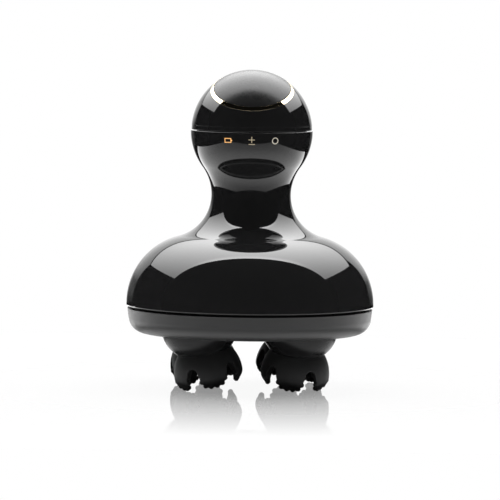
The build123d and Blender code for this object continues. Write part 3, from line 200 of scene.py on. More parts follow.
def skin(name, stretches, place=Matrix.Identity(4)):
    """A closed mesh through rings of points, with the given normals; rings of no width become poles."""
    points, quads, normals = [], [], []
    turn = np.array(place.to_3x3())
    first = last = None

    def ring_ids(ring):
        if np.ptp(ring, axis=0).max() < SAME_PLACE:
            points.append(ring[0])
            return [len(points) - 1] * len(ring)
        start = len(points)
        points.extend(ring)
        return list(range(start, start + len(ring)))

    def add_band(low, high, band_normals):
        for j in range(len(low)):
            k = (j + 1) % len(low)
            corners = [(low[j], 0, j), (low[k], 0, k), (high[k], 1, k), (high[j], 1, j)]
            kept = [corner for n, corner in enumerate(corners) if corner[0] != corners[n - 1][0]]
            quads.append([point for point, _, _ in kept])
            normals.extend(band_normals[side][column] for _, side, column in kept)

    for number, (rings, ring_normals) in enumerate(stretches):
        for row, ring in enumerate(rings):
            if row == 0 and last is not None:
                ids = last
            elif number == len(stretches) - 1 and row == len(rings) - 1:
                ids = first
            else:
                ids = ring_ids(ring)
            first = first or ids
            if row > 0:
                add_band(last, ids, ring_normals[row - 1:row + 1])
            last = ids
    mesh = bpy.data.meshes.new(name)
    mesh.from_pydata(points, [], quads)
    mesh.transform(place)
    mesh.polygons.foreach_set("use_smooth", [True] * len(mesh.polygons))
    mesh.normals_split_custom_set([turn @ normal for normal in normals])
    return object_from(name, mesh)


def cross_normals(rings):
    """Normals of a stretch worked out from its own points."""
    along = np.roll(rings, -1, axis=1) - np.roll(rings, 1, axis=1)
    up = np.gradient(rings, axis=0)
    normal = np.cross(along, up)
    return normal / np.maximum(np.linalg.norm(normal, axis=2, keepdims=True), NO_LENGTH)


def object_from(name, data):
    """Link a new object with a mesh or other data."""
    piece = bpy.data.objects.new(name, data)
    bpy.context.scene.collection.objects.link(piece)
    return piece


def prism(name, outline, low, high, place):
    """A closed straight solid over a flat outline."""
    count = len(outline)
    points = [(x, y, low) for x, y in outline] + [(x, y, high) for x, y in outline]
    sides = [[j, (j + 1) % count, count + (j + 1) % count, count + j] for j in range(count)]
    mesh = bpy.data.meshes.new(name)
    mesh.from_pydata(points, [], sides + [list(range(count))[::-1], list(range(count, 2 * count))])
    mesh.transform(place)
    return object_from(name, mesh)


def weld(mesh):
    """Join the points that a mesh holds twice along its sharp edges."""
    shape = bmesh.new()
    shape.from_mesh(mesh)
    bmesh.ops.remove_doubles(shape, verts=shape.verts, dist=SAME_PLACE)
    shape.to_mesh(mesh)
    shape.free()


def face_outwards(mesh):
    """Turn a closed mesh's faces outwards."""
    shape = bmesh.new()
    shape.from_mesh(mesh)
    bmesh.ops.recalc_face_normals(shape, faces=shape.faces)
    shape.to_mesh(mesh)
    shape.free()


def bake(piece):
    """Turn a piece's modifiers into its mesh."""
    graph = bpy.context.evaluated_depsgraph_get()
    mesh = bpy.data.meshes.new_from_object(piece.evaluated_get(graph))
    piece.modifiers.clear()
    piece.data = mesh


def cut(piece, cutters):
    """Take the cutters out of a piece and drop them."""
    face_outwards(piece.data)
    for cutter in cutters:
        face_outwards(cutter.data)
        step = piece.modifiers.new("cut", "BOOLEAN")
        step.operation = "DIFFERENCE"
        step.solver = "EXACT"
        step.object = cutter
        bake(piece)
        bpy.data.objects.remove(cutter)


def restore_normals(piece, before):
    """Give faces that still lie on the mesh from before a cut their smooth normals again."""
    tree = BVHTree.FromPolygons([v.co for v in before.vertices], [p.vertices[:] for p in before.polygons])
    whole = [Vector(normal.vector) for normal in before.corner_normals]
    mesh = piece.data
    normals = []
    for polygon in mesh.polygons:
        for loop in polygon.loop_indices:
            spot = mesh.vertices[mesh.loops[loop].vertex_index].co
            inward = spot + (polygon.center - spot) * INWARD_SHARE
            near, _, face, gap = tree.find_nearest(inward)
            found = before.polygons[face]
            corners = [before.vertices[v].co for v in found.vertices]
            weights = poly_3d_calc(corners, near)
            normal = sum((whole[n] * w for n, w in zip(found.loop_indices, weights)), Vector())
            on_skin = gap < MICRON and abs(found.normal @ polygon.normal) > SAME_WAY
            normals.append(normal.normalized() if on_skin else polygon.normal)
    mesh.polygons.foreach_set("use_smooth", [True] * len(mesh.polygons))
    mesh.normals_split_custom_set(normals)


# ---- materials --------------------------------------------------------------------------------------
class Nodes:
    """A node tree with short calls; each call gives the new node or its value."""

    def __init__(self, tree):
        self.tree = tree
        tree.nodes.clear()

    def add(self, kind, **inputs):
        node = self.tree.nodes.new(kind)
        for name, value in inputs.items():
            self.set(node.inputs[name.replace("_", " ")], value)
        return node

    def set(self, socket, value):
        if isinstance(value, bpy.types.NodeSocket):
            self.tree.links.new(value, socket)
        else:
            socket.default_value = value

    def math(self, operation, *values):
        node = self.tree.nodes.new("ShaderNodeMath")
        node.operation = operation
        for socket, value in zip(node.inputs, values):
            self.set(socket, value)
        return node.outputs[0]

    def plus(self, first, second):
        return self.math("ADD", first, second)

    def minus(self, first, second):
        return self.math("SUBTRACT", first, second)

    def times(self, first, second):
        return self.math("MULTIPLY", first, second)

    def absolute(self, value):
        return self.math("ABSOLUTE", value)

    def mixed(self, share, whole, rest):
        """The first value where a share is 1, and the second where it is 0."""
        return self.plus(self.times(share, whole), self.times(self.minus(1.0, share), rest))

    def object_place(self):
        """Object coordinates as X, Y and Z."""
        place = self.add("ShaderNodeTexCoord").outputs["Object"]
        return self.add("ShaderNodeSeparateXYZ", Vector=place).outputs

    def ramp(self, value, low, high, out_low=0.0, out_high=1.0, smooth=True):
        node = self.tree.nodes.new("ShaderNodeMapRange")
        node.interpolation_type = "SMOOTHSTEP" if smooth else "LINEAR"
        for socket, given in zip(node.inputs, (value, low, high, out_low, out_high)):
            self.set(socket, given)
        return node.outputs[0]

    def noise(self, coordinates, size, detail, roughness):
        node = self.add("ShaderNodeTexNoise", Vector=coordinates, Scale=1 / size, Detail=detail,
                        Roughness=roughness)
        return node.outputs["Fac"]

    def blend(self, fac, first, second):
        node = self.tree.nodes.new("ShaderNodeMix")
        node.data_type = "RGBA"
        colours = [socket for socket in node.inputs if socket.type == "RGBA"]
        self.set(node.inputs["Factor"], fac)
        self.set(colours[0], (*first, 1.0))
        self.set(colours[1], (*second, 1.0))
        return next(socket for socket in node.outputs if socket.type == "RGBA")


FINE_SHARE = 0.35  # of the fine noise in the gloss
NOISE_LOW, NOISE_HIGH = 0.3, 0.7  # where nearly all of a noise lies


def finish(name, colour, roughness, metallic=0.0, ior=1.5, mottle=0.06, mottle_size=4.0 * MM,
           grain=0.0, grain_size=0.25 * MM, stretch=(1, 1, 1), sheen=0.0):
    """A procedural finish: mottled colour, uneven gloss and a fine surface grain."""
    material = bpy.data.materials.new(name)
    material.use_nodes = True
    nodes = Nodes(material.node_tree)
    place = nodes.add("ShaderNodeTexCoord").outputs["Object"]
    scaled = nodes.add("ShaderNodeMapping", Vector=place, Scale=stretch).outputs[0]
    broad = nodes.noise(scaled, mottle_size, detail=4.0, roughness=0.6)
    fine = nodes.noise(scaled, grain_size, detail=3.0, roughness=0.55)
    dark = tuple(channel * (1 - mottle) for channel in colour)
    light = tuple(min(channel * (1 + mottle), 1.0) for channel in colour)
    blotches = nodes.math("MULTIPLY_ADD", fine, FINE_SHARE, nodes.times(broad, 1 - FINE_SHARE))
    uneven = nodes.ramp(blotches, NOISE_LOW, NOISE_HIGH, *roughness)
    surface = nodes.add("ShaderNodeBsdfPrincipled", Base_Color=nodes.blend(broad, dark, light),
                        Roughness=uneven, Metallic=metallic, IOR=ior, Sheen_Weight=sheen)
    if grain:
        bump = nodes.add("ShaderNodeBump", Strength=1.0, Distance=grain, Height=fine)
        nodes.set(surface.inputs["Normal"], bump.outputs[0])
    output = nodes.add("ShaderNodeOutputMaterial")
    nodes.set(output.inputs["Surface"], surface.outputs[0])
    return material


def metal(colour, roughness, grain, **more):
    """The look of a bare metal."""
    return dict(colour=colour, roughness=roughness, metallic=1.0, grain=grain, **more)


looks = {
    "shell_gloss": dict(colour=(0.018, 0.018, 0.0185), roughness=(0.012, 0.03), mottle=0.04,
                        mottle_size=9 * MM, grain_size=0.8 * MM),
    "champagne_gold": metal((0.86, 0.74, 0.52), (0.03, 0.06), 1.5 * MICRON, mottle=0.03,
                            grain_size=0.12 * MM),
    "button_satin": dict(colour=(0.02, 0.02, 0.0205), roughness=(0.26, 0.31), ior=1.33, mottle=0.08,
                         grain=3 * MICRON, grain_size=0.16 * MM),
    "pan_satin": dict(colour=(0.034, 0.034, 0.0345), roughness=(0.38, 0.46), mottle=0.08,
                      grain=5 * MICRON, grain_size=0.2 * MM),
    "cup_semi_gloss": dict(colour=(0.016, 0.016, 0.0165), roughness=(0.2, 0.28), ior=1.29,
                           grain=2 * MICRON, grain_size=0.2 * MM),
    "claw_silicone": dict(colour=(0.011, 0.011, 0.0115), roughness=(0.5, 0.62), ior=1.42, mottle=0.15,
                          mottle_size=2.5 * MM, grain=12 * MICRON, grain_size=0.18 * MM, sheen=0.05),
    "grey_silicone": dict(colour=(0.18, 0.18, 0.19), roughness=(0.5, 0.65), ior=1.42, grain=8 * MICRON),
    "pcb_green": dict(colour=(0.03, 0.16, 0.07), roughness=(0.28, 0.42), mottle=0.2, mottle_size=1.2 * MM,
                      grain=6 * MICRON),
    "black_plastic": dict(colour=(0.02, 0.02, 0.02), roughness=(0.4, 0.5), grain=6 * MICRON),
    "socket_steel": metal((0.6, 0.6, 0.62), (0.2, 0.35), 2 * MICRON, stretch=(0.2, 1, 1)),
    "screw_steel": metal((0.55, 0.55, 0.57), (0.25, 0.4), 3 * MICRON),
    "led_white": dict(colour=(0.9, 0.88, 0.75), roughness=(0.3, 0.4), mottle=0.05),
    "clear_guide": dict(colour=(0.8, 0.82, 0.85), roughness=(0.25, 0.4), mottle=0.03, grain=4 * MICRON),
    "chassis_plastic": dict(colour=(0.09, 0.09, 0.1), roughness=(0.45, 0.6), mottle=0.15,
                            grain=10 * MICRON),
    "bush_bronze": metal((0.5, 0.33, 0.16), (0.35, 0.5), 8 * MICRON, mottle=0.15),
    "shaft_steel": metal((0.62, 0.62, 0.64), (0.15, 0.25), 1 * MICRON),
    "bridge_plate": metal((0.72, 0.72, 0.74), (0.3, 0.42), 3 * MICRON, stretch=(0.1, 1, 1)),
    "gearhead_steel": metal((0.5, 0.5, 0.52), (0.25, 0.4), 3 * MICRON),
    "motor_steel": metal((0.58, 0.58, 0.6), (0.22, 0.35), 2 * MICRON, stretch=(1, 1, 0.15)),
    "cell_wrap": dict(colour=(0.05, 0.2, 0.45), roughness=(0.2, 0.3), mottle=0.05, grain=2 * MICRON),
    "lead_insulation": dict(colour=(0.5, 0.03, 0.03), roughness=(0.35, 0.45), grain=3 * MICRON),
    "pinion_brass": metal((0.75, 0.55, 0.25), (0.2, 0.3), 2 * MICRON),
    "gear_acetal": dict(colour=(0.82, 0.81, 0.77), roughness=(0.35, 0.45), mottle=0.03, grain=4 * MICRON),
    "clip_steel": metal((0.35, 0.35, 0.37), (0.3, 0.4), 2 * MICRON),
}
finishes = {name: finish(name, **look) for name, look in looks.items()}


def icon_light(name, colour, strength):
    """A lit window: printed colour with a soft glow of the same colour."""
    material = finish(name, colour, (0.4, 0.5), mottle=0.1, mottle_size=0.6 * MM)
    surface = next(node for node in material.node_tree.nodes if node.type == "BSDF_PRINCIPLED")
    surface.inputs["Emission Color"].default_value = (*colour, 1.0)
    surface.inputs["Emission Strength"].default_value = strength
    return material


icon_lights = {
    "icon_battery": icon_light("icon_battery", (0.95, 0.48, 0.16), 0.75),
    "icon_plus_minus": icon_light("icon_plus_minus", (0.62, 0.53, 0.36), 0.26),
    "icon_circle": icon_light("icon_circle", (0.78, 0.72, 0.6), 0.32),
}


def dress(piece, slot_name, body, *nodes):
    """Give a new piece its finish, its body and the solids that it stands for."""
    piece.data.materials.clear()
    piece.data.materials.append(finishes[slot_name])
    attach(piece, body)
    if nodes:
        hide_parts(*nodes)
    return piece


for part in frame["record"]["subparts"]:
    node = frame["nodes"][part["node"]]
    node.data.materials.clear()
    node.data.materials.append(finishes[part["material_slot"]])


# ---- camera -----------------------------------------------------------------------------------------
CAMERA_DISTANCE = 2.0
CAMERA_HEIGHT = 0.183
CAMERA_LENS = 360.0  # lens and sensor are in millimetres
CAMERA_SENSOR = 36.0
CAMERA_REACH = 20.0
CAMERA_ROLL = radians(0.65)
AIM = Vector((-0.2 * MM, 0, 55 * MM))

camera_data = bpy.data.cameras.new("camera")
camera_data.lens = CAMERA_LENS
camera_data.sensor_width = CAMERA_SENSOR
camera_data.clip_end = CAMERA_REACH
camera = object_from("camera", camera_data)
camera.location = (0, -CAMERA_DISTANCE, CAMERA_HEIGHT)
aiming = (AIM - camera.location).to_track_quat("-Z", "Y").to_matrix().to_4x4()
camera.matrix_world = Matrix.Translation(camera.location) @ aiming @ Matrix.Rotation(CAMERA_ROLL, 4, "Z")
bpy.context.scene.camera = camera
bpy.context.scene.view_settings.view_transform = "Standard"

# ---- light: a small light tent, seen in gloss, and the even light that it gives to matt surfaces ------
PANEL_HEIGHT = 0.29
PANEL_LEFT, PANEL_RIGHT = -0.40, 0.385
PANEL_FRONT, PANEL_BACK = -0.033, 0.42
PANEL_RISE = 0.235  # over the middle of the object
PANEL_GLOSS = 9.0
PANEL_FALL = 0.75
STRIP_GLOSS = 3.0  # more, along the middle of the front edge
STRIP_INSIDE = 0.075  # full within this of the middle, gone past the next
STRIP_OUTSIDE = 0.225
SHEET_PLACE = 0.45
SHEET_LEFT, SHEET_RIGHT = -0.40, 0.32
SHEET_GLOSS = 1.3
SHEET_EDGE_GLOSS = 0.18
SHEET_FADE = 0.06  # height under which it darkens towards the floor
SHEET_FLOOR_SHARE = 0.25
SHEET_MIDDLE = 0.01
SHEET_FOOT = 0.07
SHEET_HALF_WIDTH = 0.095
SHEET_SPREAD = 1.53  # growth of the half width over the foot, for each metre
SHEET_BRIGHT = 0.5  # in half widths from the middle
SHEET_DARK = 2.2
AMBIENT_GLOSS = 0.004
SKY_HALF_WIDTH = 1.36  # of the light on matt surfaces, in heights of the panel
SKY_FRONT = -0.04
SKY_BACK = 1.71
SKY_EDGE = 0.02
SKY_LIGHT = 2.4
AMBIENT_LIGHT = 0.22
SKY_LOWEST = 0.001  # keeps the slope of a level ray finite
HORIZON = 0.01


def stage_sheet(name, corners):
    """A flat sheet of the set, seen by the camera or in gloss only."""
    mesh = bpy.data.meshes.new(name)
    mesh.from_pydata(corners, [], [tuple(range(len(corners)))])
    sheet_object = object_from(name, mesh)
    material = bpy.data.materials.new(name)
    material.use_nodes = True
    mesh.materials.append(material)
    return sheet_object, Nodes(material.node_tree)


def gloss_only(sheet_object, nodes, strength):
    """Light a sheet for gloss alone; a perfect mirror, such as the floor, shows it plain white."""
    for name in ("camera", "diffuse", "shadow", "transmission", "volume_scatter"):
        setattr(sheet_object, "visible_" + name, False)
    perfect = nodes.add("ShaderNodeLightPath").outputs["Is Singular Ray"]
    light = nodes.add("ShaderNodeEmission", Color=(1, 1, 1, 1), Strength=nodes.mixed(perfect, 1.0, strength))
    nodes.set(nodes.add("ShaderNodeOutputMaterial").inputs["Surface"], light.outputs[0])
    sheet_object.data.materials[0].cycles.emission_sampling = "NONE"


light_panel, ceiling = stage_sheet(
    "light_panel", [(PANEL_LEFT, PANEL_FRONT, PANEL_HEIGHT), (PANEL_RIGHT, PANEL_FRONT, PANEL_HEIGHT),
                    (PANEL_RIGHT, PANEL_BACK, PANEL_HEIGHT), (PANEL_LEFT, PANEL_BACK, PANEL_HEIGHT)])
across, along, _ = ceiling.object_place()
away = ceiling.plus(ceiling.times(across, across), ceiling.times(along, along))
fall = ceiling.math("DIVIDE", PANEL_RISE**2, ceiling.plus(away, PANEL_RISE**2))
fall = ceiling.times(ceiling.math("POWER", fall, PANEL_FALL), PANEL_GLOSS)
strip = ceiling.times(ceiling.ramp(along, 0.0, PANEL_FRONT, 0.0, STRIP_GLOSS),
                      ceiling.ramp(ceiling.absolute(across), STRIP_OUTSIDE, STRIP_INSIDE))
gloss_only(light_panel, ceiling, ceiling.plus(fall, strip))

back_sheet, back = stage_sheet(
    "back_sheet", [(SHEET_LEFT, SHEET_PLACE, 0), (SHEET_RIGHT, SHEET_PLACE, 0),
                   (SHEET_RIGHT, SHEET_PLACE, PANEL_HEIGHT), (SHEET_LEFT, SHEET_PLACE, PANEL_HEIGHT)])
across, _, rise = back.object_place()
lift = back.ramp(rise, 0.0, SHEET_FADE, SHEET_FLOOR_SHARE, 1.0)
over_foot = back.math("MAXIMUM", back.minus(rise, SHEET_FOOT), 0.0)
half_width = back.math("MULTIPLY_ADD", over_foot, SHEET_SPREAD, SHEET_HALF_WIDTH)
share = back.math("DIVIDE", back.absolute(back.minus(across, SHEET_MIDDLE)), half_width)
glow = back.ramp(share, SHEET_DARK, SHEET_BRIGHT, SHEET_EDGE_GLOSS, SHEET_GLOSS, smooth=False)
gloss_only(back_sheet, back, back.times(glow, lift))

world = bpy.data.worlds.new("studio")
bpy.context.scene.world = world
world.use_nodes = True
world.cycles.sampling_method = "NONE"
sky = Nodes(world.node_tree)
heading = sky.add("ShaderNodeTexCoord").outputs["Generated"]
x, y, z = sky.add("ShaderNodeSeparateXYZ", Vector=heading).outputs
height = sky.math("MAXIMUM", z, SKY_LOWEST)
sideways = sky.absolute(sky.math("DIVIDE", x, height))
backwards = sky.math("DIVIDE", y, height)
panel = sky.times(sky.ramp(sideways, SKY_HALF_WIDTH + SKY_EDGE, SKY_HALF_WIDTH - SKY_EDGE),
                  sky.times(sky.ramp(backwards, SKY_FRONT - SKY_EDGE, SKY_FRONT + SKY_EDGE),
                            sky.ramp(backwards, SKY_BACK + SKY_EDGE, SKY_BACK - SKY_EDGE)))
panel = sky.times(panel, sky.math("GREATER_THAN", z, HORIZON))
lighting = sky.math("MULTIPLY_ADD", panel, SKY_LIGHT, AMBIENT_LIGHT)
rays = sky.add("ShaderNodeLightPath").outputs
seen = sky.math("MAXIMUM", rays["Is Camera Ray"], rays["Is Singular Ray"])
strength = sky.mixed(seen, 1.0, sky.mixed(rays["Is Glossy Ray"], AMBIENT_GLOSS, lighting))
background = sky.add("ShaderNodeBackground", Color=(1, 1, 1, 1), Strength=strength)
sky.set(sky.add("ShaderNodeOutputWorld").inputs["Surface"], background.outputs[0])

# ---- floor: a white gloss sheet, mirror-like near the object; a dark disc of shadow shows in gloss -----
FLOOR_CORNERS = [(-0.245, -0.25, 0), (0.225, -0.25, 0), (0.24, 0.24, 0), (-0.305, 0.27, 0)]
FLOOR_COLOUR = (0.9, 0.9, 0.9, 1)
MIRROR_NEAR = 0.033
MIRROR_FAR = 0.197
MIRROR_SHARE = 0.65
FLOOR_SELF = 0.82  # share of its white that shadows don't reach
FLOOR_GLOSS = 1.6
FLOOR_GLOSS_RATE = 3.64  # growth towards the back, for each metre
FLOOR_NEAR_GLOSS = 0.45
DISC_RADIUS = 0.095
DISC_EDGE = 0.002
UNDER_GLOSS = 1.35  # painted light: a bright ring of floor right under the base's edge, where the base shades it, which only the pan and the heads reflect
UNDER_RING = 0.057
UNDER_HALF_WIDTH = 0.011
UNDER_FADE = 0.005

floor, sheet = stage_sheet("floor", FLOOR_CORNERS)
spot_x, spot_y, _ = sheet.object_place()
reach = sheet.math("SQRT", sheet.plus(sheet.times(spot_x, spot_x), sheet.times(spot_y, spot_y)))
rays = sheet.add("ShaderNodeLightPath").outputs
direct, gloss = rays["Is Camera Ray"], rays["Is Glossy Ray"]
glow = sheet.times(sheet.math("EXPONENT", sheet.times(spot_y, FLOOR_GLOSS_RATE)), FLOOR_GLOSS)
glow = sheet.plus(glow, sheet.ramp(reach, 2 * DISC_RADIUS, DISC_RADIUS, 0.0, FLOOR_NEAR_GLOSS))
# painted shadow: inside the disc the floor's gloss glow is cut to nothing, so reflections show a dark disc round
# the object
glow = sheet.times(glow, sheet.ramp(reach, DISC_RADIUS - DISC_EDGE, DISC_RADIUS + DISC_EDGE))
off_ring = sheet.absolute(sheet.minus(reach, UNDER_RING))
ring_end = UNDER_HALF_WIDTH + UNDER_FADE
glow = sheet.plus(glow, sheet.ramp(off_ring, ring_end, UNDER_HALF_WIDTH, 0.0, UNDER_GLOSS))
white = sheet.add("ShaderNodeEmission", Color=(1, 1, 1, 1),
                  Strength=sheet.plus(direct, sheet.times(gloss, glow)))
matt = sheet.add("ShaderNodeBsdfDiffuse", Color=FLOOR_COLOUR)
mirror = sheet.add("ShaderNodeBsdfGlossy", Color=(1, 1, 1, 1), Roughness=0.0)
self_share = sheet.math("MAXIMUM", gloss, sheet.times(direct, FLOOR_SELF))
body_mix = sheet.add("ShaderNodeMixShader", Fac=self_share)
sheet.set(body_mix.inputs[1], matt.outputs[0])
sheet.set(body_mix.inputs[2], white.outputs[0])
mirror_share = sheet.ramp(reach, MIRROR_NEAR, MIRROR_FAR, MIRROR_SHARE, 0.0, smooth=False)
gloss_mix = sheet.add("ShaderNodeMixShader", Fac=sheet.times(direct, mirror_share))
sheet.set(gloss_mix.inputs[1], body_mix.outputs[0])
sheet.set(gloss_mix.inputs[2], mirror.outputs[0])
sheet.set(sheet.add("ShaderNodeOutputMaterial").inputs["Surface"], gloss_mix.outputs[0])
floor.data.materials[0].cycles.emission_sampling = "NONE"

# ---- main housing: foot, shoulder, neck and lower half of the ball ------------------------------------
housing_foot = pan_rim + SEAM_GAP
waist_level = ball_level - WAIST_DROP
shoulder = np.array([base_radius - SHOULDER_RADIUS, housing_foot + SHOULDER_RISE])
upper_neck = (WAIST_DROP**2 / (BALL_RADIUS - WAIST_RADIUS) - (BALL_RADIUS + WAIST_RADIUS)) / 2
neck_in, neck_up = WAIST_RADIUS - shoulder[0], waist_level - shoulder[1]
lower_neck = (neck_in**2 + neck_up**2 - SHOULDER_RADIUS**2) / (2 * (SHOULDER_RADIUS - neck_in))
upper_centre = np.array([WAIST_RADIUS + upper_neck, waist_level])
lower_centre = np.array([WAIST_RADIUS + lower_neck, waist_level])
ball_centre = np.array([0.0, ball_level])


def bearing(start, end):
    """The angle of the way from one point of a section to another."""
    return atan2(end[1] - start[1], end[0] - start[0])


def shell_arcs(inset, foot_angle, seam_angle, fineness):
    """The housing's outline, set in by a thickness, from foot to seam."""
    shoulder_end = bearing(shoulder, lower_centre)
    nape_end = bearing(ball_centre, upper_centre)
    return [
        arc(shoulder, SHOULDER_RADIUS - inset, foot_angle, shoulder_end, int(56 * fineness)),
        arc(lower_centre, lower_neck + inset, shoulder_end + pi, pi, int(30 * fineness)),
        arc(upper_centre, upper_neck + inset, pi, nape_end + pi, int(24 * fineness)),
        arc(ball_centre, BALL_RADIUS - inset, nape_end, seam_angle, int(30 * fineness)),
    ]


shell_foot = housing_foot - FOOT_DROP
foot_round, foot_angle = edge_rounding(shoulder, SHOULDER_RADIUS, shell_foot, FOOT_ROUNDING, 1)
seam_round, seam_angle = edge_rounding(ball_centre, BALL_RADIUS, ball_level, SEAM_ROUNDING, -1)
inner_foot = housing_foot + WALL
inner_angle = asin((inner_foot - shoulder[1]) / (SHOULDER_RADIUS - WALL))
outer_side = shell_arcs(0.0, foot_angle, seam_angle, 1.0)
inner_arcs = shell_arcs(WALL, inner_angle, 0.0, INNER_FINENESS)
inner_side = [stretch[::-1] * (1, 1, -1, -1) for stretch in reversed(inner_arcs)]  # facing the inside
inner_top = (BALL_RADIUS - WALL, ball_level)
inner_base = (inner_side[-1][-1][0], inner_foot)
housing_section = (
    [arc(foot_round, FOOT_ROUNDING, -pi / 2, foot_angle, 6)]
    + outer_side
    + [arc(seam_round, SEAM_ROUNDING, seam_angle, pi / 2, 5)]
    + chain((seam_round[0], ball_level), inner_top)
    + inner_side
    + chain(inner_base, (LIP_INNER, inner_foot), (LIP_INNER, housing_foot - LIP_DEPTH),
            (LIP_OUTER, housing_foot - LIP_DEPTH), (LIP_OUTER, shell_foot), (foot_round[0], shell_foot))
)
housing = skin("housing_shell", turned(housing_section))
dress(housing, "shell_gloss", "housing", "main_housing")

# ---- top cover: the ball's upper half, round the leaning well of the button ---------------------------
def circles(place):
    """A function that gives rings of points about a frame's Z axis, by radius and rise."""
    angles = np.arange(TURNS) * 2 * pi / TURNS
    level = np.stack([np.cos(angles), np.sin(angles), np.zeros(TURNS)], 1)
    turn, start = np.array(place.to_3x3()), np.array(place.translation)
    return lambda radius, rise: start + (level * radius + np.array([0, 0, rise])) @ turn.T


def sphere_patch(first, last, steps, centre):
    """Rings on a sphere about a centre, swept from one ring to another."""
    start = (first - centre) / np.linalg.norm(first - centre, axis=1, keepdims=True)
    end = (last - centre) / np.linalg.norm(last - centre, axis=1, keepdims=True)
    radius = np.linalg.norm(first[0] - centre)
    gap = np.arccos(np.clip((start * end).sum(1), -1, 1))[:, None]
    share = np.linspace(0, 1, steps + 1)[:, None, None]
    directions = (np.sin((1 - share) * gap) * start + np.sin(share * gap) * end) / np.sin(gap)
    return centre + directions * radius, directions


def rounding(circle, fillet_centre, fillet, start, end, steps):
    """Rings of a fillet, with the circle function that places them."""
    angles = np.linspace(start, end, steps + 1)
    across, up = fillet_centre
    rings = np.stack([circle(across + fillet * cos(a), up + fillet * sin(a)) for a in angles])
    return rings, cross_normals(rings)


def facet(start, end):
    """A straight stretch between two rings, with normals from its own shape."""
    rings = np.stack([start, end])
    return rings, cross_normals(rings)


def facets(rings):
    """Straight stretches from ring to ring."""
    return [facet(start, end) for start, end in zip(rings, rings[1:])]


button_place = Matrix.Translation((0, 0, ball_level)) @ Matrix.Rotation(BUTTON_LEAN, 4, "X")
ball_middle = np.array([0, 0, ball_level])
level_circle = circles(Matrix.Translation((0, 0, ball_level)))
leaning_circle = circles(button_place)
band_angle = asin(BAND_RISE / COVER_RADIUS)
band_centre = ((COVER_RADIUS - BAND_STEP) * cos(band_angle), (COVER_RADIUS - BAND_STEP) * sin(band_angle))
band_rings = rounding(level_circle, band_centre, BAND_STEP, band_angle - pi / 2, band_angle, 5)
band_radius = hypot(COVER_RADIUS - BAND_STEP, BAND_STEP)
cover_foot_round, cover_foot_angle = edge_rounding((0, 0), band_radius, COVER_GAP, SEAM_ROUNDING, 1)
recess_radius = RING_OUTER + RING_GAP
recess_round_across = recess_radius + RECESS_ROUNDING
recess_round_rise = sqrt((COVER_RADIUS - RECESS_ROUNDING) ** 2 - recess_round_across**2)
recess_angle = atan2(recess_round_rise, recess_round_across)
foot_rings = rounding(level_circle, cover_foot_round, SEAM_ROUNDING, -pi / 2, cover_foot_angle, 5)
brow_rings = rounding(leaning_circle, (recess_round_across, recess_round_rise), RECESS_ROUNDING,
                      recess_angle, pi, 5)
dome_rings = sphere_patch(band_rings[0][-1], brow_rings[0][0], 48, ball_middle)
inner_ball = COVER_RADIUS - WALL
well_low = WELL_FLOOR_TOP - WELL_FLOOR
well_meets = leaning_circle(WELL_OUTER, sqrt(inner_ball**2 - WELL_OUTER**2))
inner_root = level_circle(sqrt(inner_ball**2 - COVER_LIP_ROOT**2), COVER_LIP_ROOT)
inner_dome, inner_dome_normals = sphere_patch(well_meets, inner_root, 16, ball_middle)
well_rings = [
    brow_rings[0][-1],
    leaning_circle(recess_radius, RING_SEAT),
    leaning_circle(WELL_RADIUS, RING_SEAT),
    leaning_circle(WELL_RADIUS, WELL_FLOOR_TOP),
    leaning_circle(WELL_POLE, WELL_FLOOR_TOP),
    leaning_circle(WELL_POLE, well_low),
    leaning_circle(WELL_OUTER, well_low),
    well_meets,
]
lip_rings = [
    inner_root,
    level_circle(COVER_LIP_INNER, COVER_LIP_ROOT),
    level_circle(COVER_LIP_INNER, -COVER_LIP_DEPTH),
    level_circle(COVER_LIP_OUTER, -COVER_LIP_DEPTH),
    level_circle(COVER_LIP_OUTER, COVER_GAP),
    foot_rings[0][0],
]
cover_stretches = [
    foot_rings,
    sphere_patch(foot_rings[0][-1], band_rings[0][0], 4, ball_middle),
    band_rings,
    dome_rings,
    brow_rings,
    *facets(well_rings),
    (inner_dome, -inner_dome_normals),
    *facets(lip_rings),
]
cover = skin("cover_shell", cover_stretches)
dress(cover, "shell_gloss", "housing", "top_cover")


# ---- accent ring and power button, turned about the leaning axis -----------------------------------------
def ball_edge(radius, across, rounding_radius, side):
    """Fillet between the ball and a wall at a radius; side is 1 where the solid lies inside the wall."""
    centre_across = across - side * rounding_radius
    rise = sqrt((radius - rounding_radius) ** 2 - centre_across**2)
    return (centre_across, rise), atan2(rise, centre_across)


ring_out, ring_out_angle = ball_edge(COVER_RADIUS, RING_OUTER, RING_ROUNDING, 1)
ring_in, ring_in_angle = ball_edge(COVER_RADIUS, RING_INNER, RING_ROUNDING, -1)
ring_section = (
    [straight((RING_OUTER, RING_SEAT), (RING_OUTER, ring_out[1])),
     arc(ring_out, RING_ROUNDING, 0, ring_out_angle, 6),
     arc((0, 0), COVER_RADIUS, ring_out_angle, ring_in_angle, 8),
     arc(ring_in, RING_ROUNDING, ring_in_angle, pi, 6)]
    + chain((RING_INNER, ring_in[1]), (RING_INNER, RING_SEAT), (RING_OUTER, RING_SEAT))
)
ring = skin("gold_ring", turned(ring_section, RING_TURNS), button_place)
dress(ring, "champagne_gold", "housing", "accent_ring")

